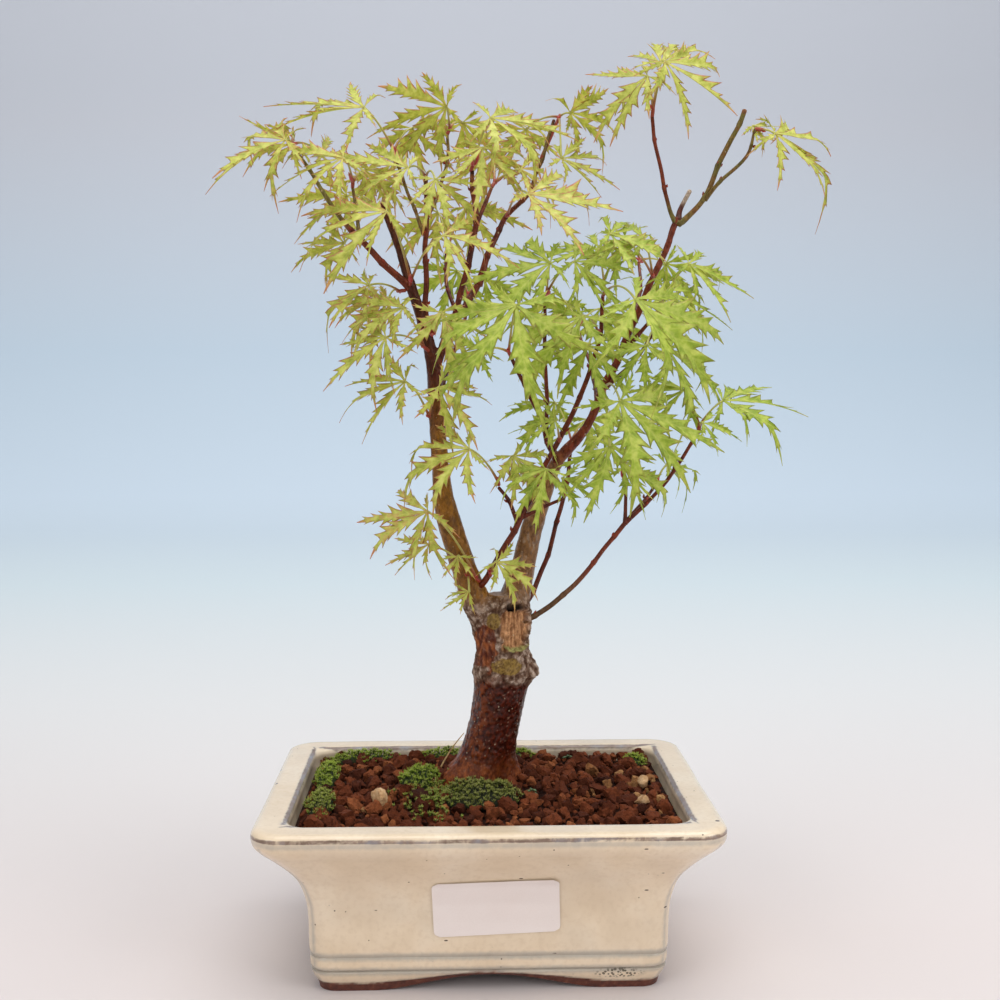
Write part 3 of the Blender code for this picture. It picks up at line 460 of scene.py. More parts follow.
def stone_material():
    """Rough tan stone with pits."""
    m = Material("tan_stone", roughness=0.85)
    body = m.ramp(m.noise(2.6, detail=6.0, rough=0.65), [
        (0.25, srgb(139, 98, 62)), (0.5, srgb(186, 146, 103)), (0.75, srgb(219, 188, 148)),
    ])
    m.to(m.mix(m.step(m.cells(1.3), 0.25, 0.05, 0.0, 0.5), body, srgb(105, 66, 38)), "Base Color")
    pits = m.bump(m.cells(1.1), 0.45, 0.4)
    m.to(m.bump(m.noise(0.5, detail=5.0), 0.5, 0.2, below=pits), "Normal")
    return m.material


def moss_material():
    """Moss. Paint holds how near a point is to a tip, which darkens it towards the base as painted shade
    inside the cushion, its cushion's freshness and a random number.
    """
    m = Material("moss", roughness=0.75)
    tip, fresh, chance = m.channels(m.painted()[0])
    # near black low down in each plant: painted shade deep in the cushion
    old = m.ramp(tip, [(0.15, srgb(6, 6, 1)), (0.6, srgb(58, 66, 14)), (1.0, srgb(186, 186, 92))])
    new = m.ramp(tip, [(0.15, srgb(6, 12, 1)), (0.6, srgb(88, 118, 14)), (1.0, srgb(206, 228, 80))])
    colour = m.mix(fresh, old, new)
    pale = m.step(m.times(m.step(chance, 0.7, 0.9), tip), 0.5, 1.0)
    colour = m.mix(pale, colour, srgb(206, 200, 142))
    patch = m.noise(3.0)
    colour = m.mix(m.step(patch, 0.5, 0.75, 0.0, 0.5), colour, srgb(60, 48, 22))
    m.to(colour, "Base Color")
    m.let_light_through(colour, 0.25)
    return m.material


def seedling_material():
    """Soft blue-green leaf."""
    m = Material("seedling_green", roughness=0.5)
    colour = m.ramp(m.noise(1.5), [(0.3, srgb(74, 104, 66)), (0.7, srgb(134, 158, 112))])
    m.to(colour, "Base Color")
    m.to(m.bump(m.noise(0.4), 0.3, 0.1), "Normal")
    m.let_light_through(colour, 0.25)
    return m.material


def stalk_material():
    """Dry straw."""
    m = Material("dry_stalk", roughness=0.6)
    m.to(m.ramp(m.noise(1.4), [(0.3, srgb(112, 82, 48)), (0.7, srgb(196, 160, 106))]), "Base Color")
    m.to(m.bump(m.noise(0.5), 0.4, 0.1), "Normal")
    return m.material


def bark_material():
    """Bark. Paint holds its colour, and its fourth number how rough and flaky it is."""
    m = Material("maple_bark", roughness=0.5, Specular_IOR_Level=0.25)
    paint, rough = m.painted()
    grain = m.noise(1.2, detail=6.0, rough=0.7, place=m.stretched(1.0, 1.0, 0.6))
    darker = m.mix(1.0, paint, (0.42, 0.36, 0.32), blend="MULTIPLY")
    colour = m.mix(m.step(grain, 0.42, 0.62, 0.0, 0.8), paint, darker)
    paler = m.mix(1.0, paint, (1.9, 1.9, 2.0), blend="MULTIPLY")
    light = m.step(m.noise(2.1, detail=5.0, rough=0.75), 0.52, 0.72, 0.0, 0.55)
    colour = m.mix(m.times(light, m.step(rough, 0.3, 0.9, 0.12, 1.0)), colour, paler)
    pores = m.step(m.cells(2.1, place=m.stretched(1.0, 1.0, 0.7)), 0.15, 0.09, 0.0, 0.65)
    pores = m.times(pores, m.step(m.noise(7.0, detail=1.0), 0.45, 0.6))
    colour = m.mix(pores, colour, srgb(190, 172, 146))
    m.to(colour, "Base Color")
    m.to(m.step(rough, 0.25, 0.9, 0.24, 0.9), "Roughness")
    flakes = m.times(m.cells(1.5, place=m.stretched(1.0, 1.0, 0.7)), rough)
    fine = m.noise(0.7, detail=5.0, rough=0.7, place=m.stretched(1.0, 1.0, 0.6))
    flaky = m.bump(flakes, 0.7, 0.7)
    fine = m.times(fine, m.step(rough, 0.0, 1.0, 0.35, 1.0))
    m.to(m.bump(fine, 0.6, 0.4, below=flaky), "Normal")
    return m.material


def leaf_material(name, dark, middle, light, margin, margin_share):
    """A thin blade. Paint holds distance from the midrib, distance along the lobe and warmth."""
    m = Material(name, roughness=0.42, Specular_IOR_Level=0.4)
    out, along, warmth = m.channels(m.painted()[0])
    body = m.ramp(m.noise(3.2, detail=5.0), [(0.34, dark), (0.5, middle), (0.66, light)])
    body = m.mix(m.step(along, 0.0, 0.4, 0.4, 0.0), body, light)
    patch = m.noise(2.2, detail=3.0)
    near_edge = m.step(m.plus(out, m.times(patch, 0.6)), 1.0, 1.25)
    near_tip = m.step(m.plus(along, m.times(patch, 0.3)), 0.9, 1.15)
    reddened = m.maths("MAXIMUM", near_edge, near_tip)
    reddened = m.times(reddened, m.step(warmth, 0.0, 0.6, margin_share, 1.0))
    flush = m.step(m.times(warmth, m.step(patch, 0.35, 0.65)), 0.25, 0.8, 0.0, 0.38)
    slant = m.maths("SUBTRACT", m.times(along, 62.0), m.times(out, 6.0))
    veins = m.step(m.maths("SINE", slant, 0.0), 0.5, 0.95, 0.0, 0.35)
    body = m.mix(veins, body, light)
    colour = m.mix(m.maths("MAXIMUM", reddened, flush), body, margin)
    rib = m.step(out, 0.16, 0.05, 0.0, 0.45)
    rib = m.times(rib, m.step(along, 0.0, 0.9, 1.0, 0.3))
    colour = m.mix(rib, colour, srgb(224, 226, 130))
    m.to(colour, "Base Color")
    wrinkle = m.noise(1.3, detail=3.0)
    relief = m.bump(m.plus(wrinkle, m.times(rib, 1.2)), 0.4, 0.3)
    m.to(relief, "Normal")
    m.let_light_through(m.mix(1.0, colour, (1.15, 1.12, 0.8), blend="MULTIPLY"), 0.45)
    return m.material


def young_stem_material():
    """Leaf stalks and shoot tips. Paint's first number is how red they are."""
    m = Material("young_stem", roughness=0.4)
    red = m.channels(m.painted()[0])[0]
    green = m.mix(m.noise(4.0), srgb(162, 160, 76), srgb(202, 200, 108))
    m.to(m.mix(m.step(red, 0.2, 0.9), green, srgb(150, 58, 36)), "Base Color")
    m.to(m.bump(m.noise(0.5), 0.25, 0.1), "Normal")
    return m.material


def bud_material():
    """Crimson bud scales. Paint's first number runs from base to tip."""
    m = Material("bud_scales", roughness=0.38)
    tip = m.channels(m.painted()[0])[0]
    red = m.mix(m.noise(1.2), srgb(160, 34, 38), srgb(194, 58, 56))
    m.to(m.mix(m.step(tip, 0.6, 1.0, 0.0, 0.6), red, srgb(206, 140, 88)), "Base Color")
    m.to(m.bump(m.noise(0.4), 0.3, 0.1), "Normal")
    return m.material


def backdrop_material():
    """Pale floor that turns into a light blue-grey wall. Paint holds the distance along the sheet."""
    m = Material("backdrop", roughness=0.9, Specular_IOR_Level=0.1)
    along = m.channels(m.painted()[0])[0]
    tint = m.ramp(along, BACKDROP_TINTS)
    m.to(tint, "Base Color")
    return m.material


# ---- shapes and pieces


class Shape:
    """Points in millimetres, faces, and paint for each point."""

    def __init__(self):
        self.points = []
        self.paint = []
        self.faces = []
        self.kinds = []
        self.count = 0

    def add(self, points, faces, paint, kind=0):
        """Adds a closed shell: its points, faces as tuples of point numbers, and paint for each point."""
        points = np.asarray(points, float).reshape(-1, 3)
        colour = np.empty((len(points), 4))
        colour[:] = paint
        self.points.append(points)
        self.paint.append(colour)
        self.faces += [tuple(i + self.count for i in face) for face in faces]
        self.kinds += [kind] * len(faces)
        self.count += len(points)


def to_world(points):
    """Metres in the frame, from millimetres round the middle of the pot."""
    return (np.asarray(points, float) + SHIFT) * MM


def make_piece(name, shape, materials, nodes, sharp=None):
    """A visible piece that rides on the body and stands for the named nodes."""
    mesh = bpy.data.meshes.new(name)
    mesh.from_pydata(to_world(np.concatenate(shape.points)).tolist(), [], shape.faces)
    for material in materials:
        mesh.materials.append(material)
    mesh.polygons.foreach_set("material_index", shape.kinds)
    return place_piece(name, mesh, np.concatenate(shape.paint), nodes, sharp)


def paint_mesh(mesh, paint):
    """Stores four numbers at each point for the material, and smooths the shading."""
    layer = mesh.attributes.new(PAINT, "FLOAT_COLOR", "POINT")
    layer.data.foreach_set("color", np.asarray(paint, np.float32).ravel())
    mesh.shade_smooth()


def add_object(name, data):
    """A new object in the scene with this mesh, light or camera."""
    made = bpy.data.objects.new(name, data)
    bpy.context.scene.collection.objects.link(made)
    return made


def shape_object(name, shape, scale=1.0):
    """An object for a modifier to work on."""
    mesh = bpy.data.meshes.new(name)
    mesh.from_pydata((np.concatenate(shape.points) * scale).tolist(), [], shape.faces)
    return add_object(name, mesh)


def result_mesh(thing):
    """A new mesh with the object's modifiers applied."""
    return bpy.data.meshes.new_from_object(thing.evaluated_get(bpy.context.evaluated_depsgraph_get()))


def place_piece(name, mesh, paint, nodes, sharp=None):
    """Adds a painted mesh to the scene as a visible piece."""
    paint_mesh(mesh, paint)
    if sharp is not None:
        mesh.set_sharp_from_angle(angle=math.radians(sharp))
    piece = add_object(name, mesh)
    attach(piece, "root")
    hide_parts(*nodes)
    return piece


def ring_faces(rings, count, closed_ends=True):
    """Faces between rings of the same number of points, numbered one ring after another."""
    faces = []
    for level in range(rings - 1):
        low, high = level * count, (level + 1) * count
        for i in range(count):
            j = (i + 1) % count
            faces.append((low + i, low + j, high + j, high + i))
    if closed_ends:
        faces.append(tuple(reversed(range(count))))
        faces.append(tuple(range((rings - 1) * count, rings * count)))
    return faces


def smooth_path(points, step):
    """Rows along a smooth curve through the given rows, about a step apart."""
    knots = np.array(points, float)
    ends = np.vstack([2 * knots[0] - knots[1], knots, 2 * knots[-1] - knots[-2]])
    rows = []
    for i in range(len(knots) - 1):
        a, b, c, d = ends[i : i + 4]
        count = max(1, round(float(np.linalg.norm((c - b)[:3])) / step))
        for k in range(count):
            t = k / count
            second = 2 * a - 5 * b + 4 * c - d
            third = 3 * b - a - 3 * c + d
            rows.append(0.5 * (2 * b + (c - a) * t + second * t**2 + third * t**3))
    rows.append(knots[-1])
    return np.array(rows)


def tube_points(path, radii, sides):
    """Rings square to a path that don't twist along it, and a small dome of points at each end."""
    path = np.asarray(path, float)
    along = np.gradient(path, axis=0)
    along /= np.linalg.norm(along, axis=1)[:, None]
    side = np.array(Vector(along[0]).orthogonal().normalized())
    turn = np.linspace(0, math.tau, sides, endpoint=False)
    rings = []
    for point, ahead, radius in zip(path, along, radii):
        side = side - ahead * side.dot(ahead)
        side /= np.linalg.norm(side)
        across = np.cross(ahead, side)
        rings.append(point + (np.outer(np.cos(turn), side) + np.outer(np.sin(turn), across)) * radius)
    first = path[0] + (rings[0] - path[0]) * 0.5 - along[0] * radii[0] * 0.45
    last = path[-1] + (rings[-1] - path[-1]) * 0.5 + along[-1] * radii[-1] * 0.45
    return np.array([first, *rings, last])


def add_tube(shape, path, radii, sides, paint, kind=0):
    """Paint is one colour for the whole tube, or one for each of the path's points."""
    rings = tube_points(path, radii, sides)
    paint = np.asarray(paint, float)
    if paint.ndim == 2:
        paint = np.repeat(np.vstack([paint[:1], paint, paint[-1:]]), sides, axis=0)
    shape.add(rings.reshape(-1, 3), ring_faces(len(rings), sides), paint, kind)


# ---- the pot


def inset_at(profile, height):
    """How far the wall is inside the pot's outline at a height."""
    for (low, inset_low), (high, inset_high) in zip(profile, profile[1:]):
        if min(low, high) <= height <= max(low, high) and low != high:
            share = (height - low) / (high - low)
            return inset_low + share * (inset_high - inset_low)
    raise ValueError(f"no section at height {height}")


def fine_profile(profile, step):
    """Heights and insets along a smooth line through a profile's sections."""
    rows = smooth_path([(height, inset, 0.0) for height, inset in profile], step)
    return [(row[0], row[1]) for row in rows]


def pot_ring(height, inset, corner_steps=10, side_step=2.0):
    """Points round a section of the pot, anticlockwise seen from above."""
    radius = max(POT_CORNER - CORNER_SHRINK * inset, 1.5)
    half_x, half_y = POT_LENGTH / 2 - inset, POT_DEPTH / 2 - inset
    corners = [
        (half_x - radius, half_y - radius, 0.0),
        (radius - half_x, half_y - radius, 90.0),
        (radius - half_x, radius - half_y, 180.0),
        (half_x - radius, radius - half_y, 270.0),
    ]
    long_steps, short_steps = int(POT_LENGTH / side_step), int(POT_DEPTH / side_step)
    ring = []
    for i, (x, y, start) in enumerate(corners):
        for k in range(corner_steps + 1):
            angle = math.radians(start + 90.0 * k / corner_steps)
            ring.append((x + radius * math.cos(angle), y + radius * math.sin(angle), height))
        following = corners[(i + 1) % 4]
        angle = math.radians(following[2])
        end = (following[0] + radius * math.cos(angle), following[1] + radius * math.sin(angle), height)
        begin = ring[-1]
        steps = long_steps if i in (0, 2) else short_steps
        for k in range(1, steps):
            share = k / steps
            ring.append(tuple(b + share * (e - b) for b, e in zip(begin, end)))
    return np.array(ring)


def arch_lift(x, y):
    """How far the foot is cut up from the surface it stands on, at a place round the pot."""
    on_front = abs(y) / POT_DEPTH > abs(x) / POT_LENGTH
    share = abs(x) / (FRONT_ARCH_SPAN / 2) if on_front else abs(y) / (SIDE_ARCH_SPAN / 2)
    return ARCH_HEIGHT * (0.5 + 0.5 * math.cos(math.pi * share)) ** 0.8 if share < 1.0 else 0.0


def bell(value, middle, half_width):
    """1 at the middle, and falling smoothly to nothing on both sides."""
    return math.exp(-(((value - middle) / half_width) ** 2))


def pot_paint(points):
    """Thin-edge, groove (with painted shade at the corners and under the rim), bare-clay and stain shares
    at each point of the pot.
    """
    paint = np.zeros((len(points), 4))
    for i, (x, y, z) in enumerate(points):
        to_side, to_front = POT_LENGTH / 2 - abs(x), POT_DEPTH / 2 - abs(y)
        inset = min(to_side, to_front)
        inner_wall = z > 16.0 and inset > inset_at(POT_OUTSIDE, min(z, 64.9)) + 5.0
        wave = 0.7 * noise.noise(Vector((x, y, 0.0)) * 0.06) + 0.3 * noise.noise(Vector((x, y, 7.0)) * 0.4)
        outer_edge = bell(z, 63.0 + 0.4 * wave, 1.0) if inset < 4.0 else 0.0
        # painted shade under the rim's overhanging lip
        under_rim_shade = 0.75 * bell(z, 61.4, 1.6) if inset < 5.0 else 0.0
        inner_edge = bell(inset, 11.0, 1.2) if z > 61.0 else 0.0
        groove_and_shade = max(bell(z, height, 1.9) for height in GROOVE_HEIGHTS)
        # painted shade down the pot's vertical corners
        corner = 0.8 * bell(max(to_side, to_front), inset, 2.2) if z < 60.0 else 0.0
        groove_and_shade = 0.2 if inner_wall and z < 63.5 else 0.0 if inner_wall else max(groove_and_shade, corner)
        groove_and_shade = max(groove_and_shade, inner_edge, under_rim_shade)
        glaze_end = 3.5 + 0.75 * arch_lift(x, y) + wave
        bare = min(1.0, max(0.0, (glaze_end - z) / 0.4)) if z < 30.0 else 0.0
        if inset > 24.0 and z < 14.0:
            bare = 1.0
        edge = max(outer_edge, inner_edge)
        if bare < 1.0 and z < 12.0:
            edge = max(edge, 0.7 * bell(z, glaze_end, 0.5))
        stain = 0.0
        if y < 0.0 and to_front < 26.0:
            stain = bell(x, STAIN[0], STAIN[2]) * bell(z, STAIN[1], STAIN[3])
        paint[i] = (edge, groove_and_shade, bare, stain)
    return paint


def make_pot():
    """The pot's shell with an arch under each side and two drain holes."""
    outside = fine_profile(POT_OUTSIDE, 0.8)
    rim = [(65.0, inset) for inset in (3.4, 4.8, 6.2, 7.6)]
    inside = fine_profile(POT_INSIDE, 0.7)
    profile = [(6.5, 34.0)] + fine_profile(FOOT_INSIDE, 1.2) + [(0.0, 24.0)] + outside + rim + inside
    rings = []
    foot_top = 7.0
    for height, inset in profile:
        ring = pot_ring(height, inset)
        for point in ring:
            if height < foot_top:
                lift = arch_lift(point[0], point[1])
                point[2] = lift + height * (foot_top - lift) / foot_top
            wobble = noise.noise(Vector(point) * 0.03)
            if inset < 20.0:
                point[:2] *= 1.0 + 0.0016 * wobble
                point[2] += 0.25 * wobble * min(1.0, height / 30.0)
        rings.append(ring)
    count = len(rings[0])
    shape = Shape()
    shape.add(np.concatenate(rings), ring_faces(len(rings), count), PLAIN)
    body = shape_object("pot_shape", shape)
    cutters = Shape()
    for x in (-DRAIN_HOLE_X, DRAIN_HOLE_X):
        path = [(x, 0.0, z) for z in (-2.0, 6.0, 12.0, POT_FLOOR + 6.0)]
        add_tube(cutters, path, [DRAIN_HOLE_RADIUS] * 4, 48, PLAIN)
    cutter = shape_object("cutters", cutters)
    hole = body.modifiers.new("holes", "BOOLEAN")
    hole.operation = "DIFFERENCE"
    hole.solver = "EXACT"
    hole.object = cutter
    made = result_mesh(body)
    for thing in (body, cutter):
        bpy.data.objects.remove(thing)
    points = mesh_points(made)
    made.materials.clear()
    made.materials.append(glaze_material())
    set_mesh_points(made, to_world(points))
    place_piece("glazed_pot", made, pot_paint(points), ["pot"], sharp=50.0)


def mesh_points(mesh):
    """A mesh's points as rows."""
    points = np.zeros(len(mesh.vertices) * 3)
    mesh.vertices.foreach_get("co", points)
    return points.reshape(-1, 3)


def set_mesh_points(mesh, points):
    mesh.vertices.foreach_set("co", np.asarray(points, np.float32).ravel())
    mesh.update()


def make_label():
    """A blank paper label with round corners, one of which has begun to lift."""
    half_x, half_z = LABEL_SIZE[0] / 2, LABEL_SIZE[1] / 2
    corner = 2.2
    columns, rows = 46, 22
    front, back = [], []
    for j in range(rows + 1):
        up = -half_z + 2 * half_z * j / rows
        cut = max(0.0, abs(up) - (half_z - corner))
        reach = half_x - (corner - math.sqrt(max(0.0, corner**2 - cut**2)))
        for i in range(columns + 1):
            across = -reach + 2 * reach * i / columns
            x = LABEL_CENTRE[0] + across * math.cos(LABEL_TILT) - up * math.sin(LABEL_TILT)
            z = LABEL_CENTRE[1] + across * math.sin(LABEL_TILT) + up * math.cos(LABEL_TILT)
            lift = 0.5 * max(0.0, (across / half_x + up / half_z) / 2 - 0.75) / 0.25
            ripple = 0.08 * noise.noise(Vector((x, z, 0.0)) * 0.12)
            y = inset_at(POT_OUTSIDE, z) - POT_DEPTH / 2 - GAP - lift - ripple
            front.append((x, y - 0.2, z))
            back.append((x, y - 0.02, z))
    count = (columns + 1) * (rows + 1)
    faces = []
    for j in range(rows):
        for i in range(columns):
            a = j * (columns + 1) + i
            b, c, d = a + 1, a + columns + 2, a + columns + 1
            faces.append((a, b, c, d))
            faces.append((count + d, count + c, count + b, count + a))
    rim = list(range(columns + 1))
    rim += [j * (columns + 1) + columns for j in range(1, rows + 1)]
    rim += [rows * (columns + 1) + i for i in range(columns - 1, -1, -1)]
    rim += [j * (columns + 1) for j in range(rows - 1, 0, -1)]
    for k, a in enumerate(rim):
        b = rim[(k + 1) % len(rim)]
        faces.append((a, count + a, count + b, b))
    shape = Shape()
    shape.add(front + back, faces, PLAIN)
    make_piece("blank_label", shape, [label_material()], ["label"], sharp=40.0)


# ---- soil, stones, moss and what grows in it


BACK_RISE = 1.6  # how much higher the loose grains lie along the back
GRAIN_MARGIN = 13.4  # from the pot's outline to the outermost grain
FINE_GRAINS = {"count": 6500, "small": 2.2, "large": 5.0, "lift": -0.15, "spacing": 0.38}
COARSE_GRAINS = {"count": 1300, "small": 4.4, "large": 8.6, "lift": 0.08, "spacing": 0.41}


def soil_height(x, y):
    """The height of the plain solid's soil."""
    away_x = (x - MOUND_CENTRE[0]) / MOUND_SPREAD[0]
    away_y = (y - MOUND_CENTRE[1]) / MOUND_SPREAD[1]
    return SOIL_EDGE + SOIL_MOUND * math.exp(-away_x * away_x - away_y * away_y)


def loose_height(x, y):
    """The same for the loose grains and the moss."""
    return soil_height(x, y) + BACK_RISE * ease(y, 10.0, 44.0)


def rough_ball(subdivisions):
    """A unit ball's points and faces."""
    ball = bmesh.new()
    bmesh.ops.create_icosphere(ball, subdivisions=subdivisions, radius=1.0)
    points = np.array([v.co[:] for v in ball.verts])
    faces = [tuple(v.index for v in f.verts) for f in ball.faces]
    ball.free()
    return points, faces


def broken_grain(ball, chance, flats, rough):
    """A ball with flat chips off it, stretched and roughened."""
    points = ball.copy()
    for _ in range(flats):
        direction = np.array([chance.gauss(0, 1) for _ in range(3)])
        direction /= np.linalg.norm(direction)
        beyond = np.maximum(0.0, points @ direction - chance.uniform(0.45, 0.8))
        points -= np.outer(beyond, direction)
    offset = Vector([chance.uniform(-50, 50) for _ in range(3)])
    waves = [[noise.fractal(Vector(p) * 1.5 + offset, 0.6, 2.1, 3)] for p in points]
    points *= 1.0 + rough * np.array(waves)
    points *= 1.0 + 0.35 * rough * np.array([[chance.uniform(-1, 1)] for _ in points])
    points *= [chance.uniform(0.85, 1.2), chance.uniform(0.8, 1.1), chance.uniform(0.7, 1.0)]
    angle = chance.uniform(0, math.tau)
    axis = Vector([chance.gauss(0, 1) for _ in range(3)]).normalized()
    return points @ np.array(Matrix.Rotation(angle, 3, axis))


def inside_moss(x, y, share):
    """True within this share of a moss cushion's size."""
    return any(
        ((x - mx) / hx) ** 2 + ((y - my) / hy) ** 2 < share**2 for mx, my, hx, hy, _ in MOSS.values()
    )


def inside_root(x, y, grow):
    """True within the root base where it goes into the soil."""
    root_x, root_y, _, half_x, half_y = TRUNK[1]
    return ((x - root_x) / (half_x + grow)) ** 2 + ((y - root_y) / (half_y + grow)) ** 2 < 1.0


def ochre_share(x, y, chance):
    """The right side has more ochre grains than the rest."""
    right = max(0.0, (x - 35.0) / 35.0) * max(0.0, 1.0 - abs(y - 4.0) / 40.0)
    return 1.0 if chance.random() < 0.015 + 0.22 * right else 0.0


def add_grains(shape, balls, chance, count, small, large, lift, spacing):
    """Scatters grains over the soil, no nearer to each other than a share of their sizes."""
    taken = {}
    limit_x, limit_y = POT_LENGTH / 2 - GRAIN_MARGIN, POT_DEPTH / 2 - GRAIN_MARGIN
    cell = 8.0
    for _ in range(count):
        size = small + (large - small) * chance.random() ** 1.7
        x = chance.uniform(-1, 1) * (limit_x - size / 2)
        y = chance.uniform(-1, 1) * (limit_y - size / 2)
        if inside_root(x, y, -1.0) or inside_moss(x, y, 0.8):
            continue
        key = (int(x // cell), int(y // cell))
        near = [g for i in (-1, 0, 1) for j in (-1, 0, 1) for g in taken.get((key[0] + i, key[1] + j), [])]
        if any((x - gx) ** 2 + (y - gy) ** 2 < (spacing * (size + other)) ** 2 for gx, gy, other in near):
            continue
        taken.setdefault(key, []).append((x, y, size))
        ball, faces = balls[0 if size < 3.2 else 1 if size < 5.4 else 2]
        points = broken_grain(ball, chance, 7, 0.3) * size / 2
        z = loose_height(x, y) + lift * size + 0.8 * noise.noise(Vector((x, y, 3.0)) * 0.12)
        shade = min(1.0, max(0.0, chance.gauss(0.5, 0.24)))
        shape.add(points + (x, y, z), faces, (shade, ochre_share(x, y, chance), 0.0, 1.0))


def make_soil():
    """A lumpy bed painted dark as shade under the grains, with fine grains on it, and the coarse grains as
    a second piece.
    """
    chance = random.Random(11)
    shape = Shape()
    floor = POT_FLOOR + 2 * GAP + 1.2
    levels = [(floor, 26.4), (18.0, 23.8), (36.0, 21.9), (47.0, 17.2), (58.0, 13.0), (58.6, 12.9)]
    rings = [pot_ring(z, inset, corner_steps=5, side_step=2.5) for z, inset in levels]
    edge = rings[-1]
    middle = np.array([TRUNK[1][0], TRUNK[1][1], 0.0])
    for share in np.linspace(0.03, 0.985, 34):
        ring = edge + (middle - edge) * share
        for point in ring:
            bumpy = 0.7 * noise.noise(Vector((point[0], point[1], 1.0)) * 0.35)
            point[2] = soil_height(point[0], point[1]) - 1.3 + bumpy
        rings.append(ring)
    # the bed's third number darkens it as painted shade beneath the grains
    shape.add(np.concatenate(rings), ring_faces(len(rings), len(rings[0])), (0.2, 0.0, 0.75, 1.0))
    balls = (rough_ball(1), rough_ball(2), rough_ball(3))
    add_grains(shape, balls, chance, **FINE_GRAINS)
    material = soil_material()
    make_piece("soil_surface", shape, [material], ["soil"], sharp=38.0)
    coarse = Shape()
    add_grains(coarse, balls, chance, **COARSE_GRAINS)
    make_piece("soil_coarse", coarse, [material], ["soil"], sharp=38.0)


def make_stones():
    """Tan stones, chipped and pitted, one piece each."""
    material = stone_material()
    ball, faces = rough_ball(4)
    for seed, (name, (x, y, size)) in enumerate(TAN_STONES.items()):
        chance = random.Random(40 + seed)
        points = broken_grain(ball, chance, 7, 0.1)
        for point in points:
            spot = Vector(point) * 2.2 + Vector((seed * 5.0, 0, 0))
            point *= 1.0 + 0.07 * noise.fractal(spot, 1.0, 2.0, 4)
        points *= (size + 0.6) / 2
        points += (x, y, soil_height(x, y) - points[:, 2].min() - 0.2)
        shape = Shape()
        shape.add(points, faces, PLAIN)
        make_piece("stone_" + name, shape, [material], ["tan_stone_" + name])


MOSS_FULLNESS = 1.15  # a cushion's height as a share of its plain solid's


def moss_top(x, y, clump, seed):
    """How high a moss cushion stands above the soil, or None outside it."""
    mx, my, hx, hy, height = clump
    edge = math.hypot((x - mx) / hx, (y - my) / hy)
    wander = 1.0 + 0.16 * noise.noise(Vector((x, y, seed)) * 0.22)
    if edge >= wander:
        return None
    dome = math.sqrt(1.0 - (edge / wander) ** 2)
    lumps = 0.72 + 0.38 * noise.noise(Vector((x, y, seed + 5.0)) * 0.3)
    return MOSS_FULLNESS * height * dome * lumps


def add_spike(shape, base, tip, width, fresh, chance):
    """A narrow three-sided blade from a base point to a tip."""
    along = (tip - base).normalized()
    side = along.orthogonal().normalized()
    side.rotate(Matrix.Rotation(chance.uniform(0, math.tau), 3, along))
    across = along.cross(side)
    middle = base.lerp(tip, 0.45)
    ring = [middle + (side * math.cos(a) + across * math.sin(a)) * width / 2 for a in (0.0, 2.09, 4.19)]
    points = [base, *ring, tip]
    faces = [(0, 2, 1), (0, 3, 2), (0, 1, 3), (1, 2, 4), (2, 3, 4), (3, 1, 4)]
    odds = chance.random()
    paint = [(0.15, fresh, odds, 1.0)] + [(0.6, fresh, odds, 1.0)] * 3 + [(1.0, fresh, odds, 1.0)]
    shape.add([p[:] for p in points], faces, paint)


MOSS_PITCH = 1.15  # millimetres between moss plants
MOSS_LEAVES = 9  # leaves in the star at a plant's tip
MOSS_FRESH = {"front_of_trunk": 0.15, "front_left": 0.4}  # the rest are fresher
LOOSE_TUFTS = 170  # single plants scattered to the left of the front cushion


def add_tuft(shape, base, outward, fresh, chance):
    """One moss plant: a stem tip with a star of pointed leaves round it."""
    stem = base + outward * chance.uniform(0.5, 2.3)
    for k in range(MOSS_LEAVES):
        angle = math.tau * (k + chance.random()) / MOSS_LEAVES
        spread = Vector((math.cos(angle), math.sin(angle), chance.uniform(0.6, 2.4)))
        reach = chance.uniform(0.8, 1.6)
        add_spike(shape, base.lerp(stem, 0.75), stem + spread.normalized() * reach, 0.27, fresh, chance)
    add_spike(shape, base, stem + outward * chance.uniform(0.6, 1.2), 0.4, fresh, chance)


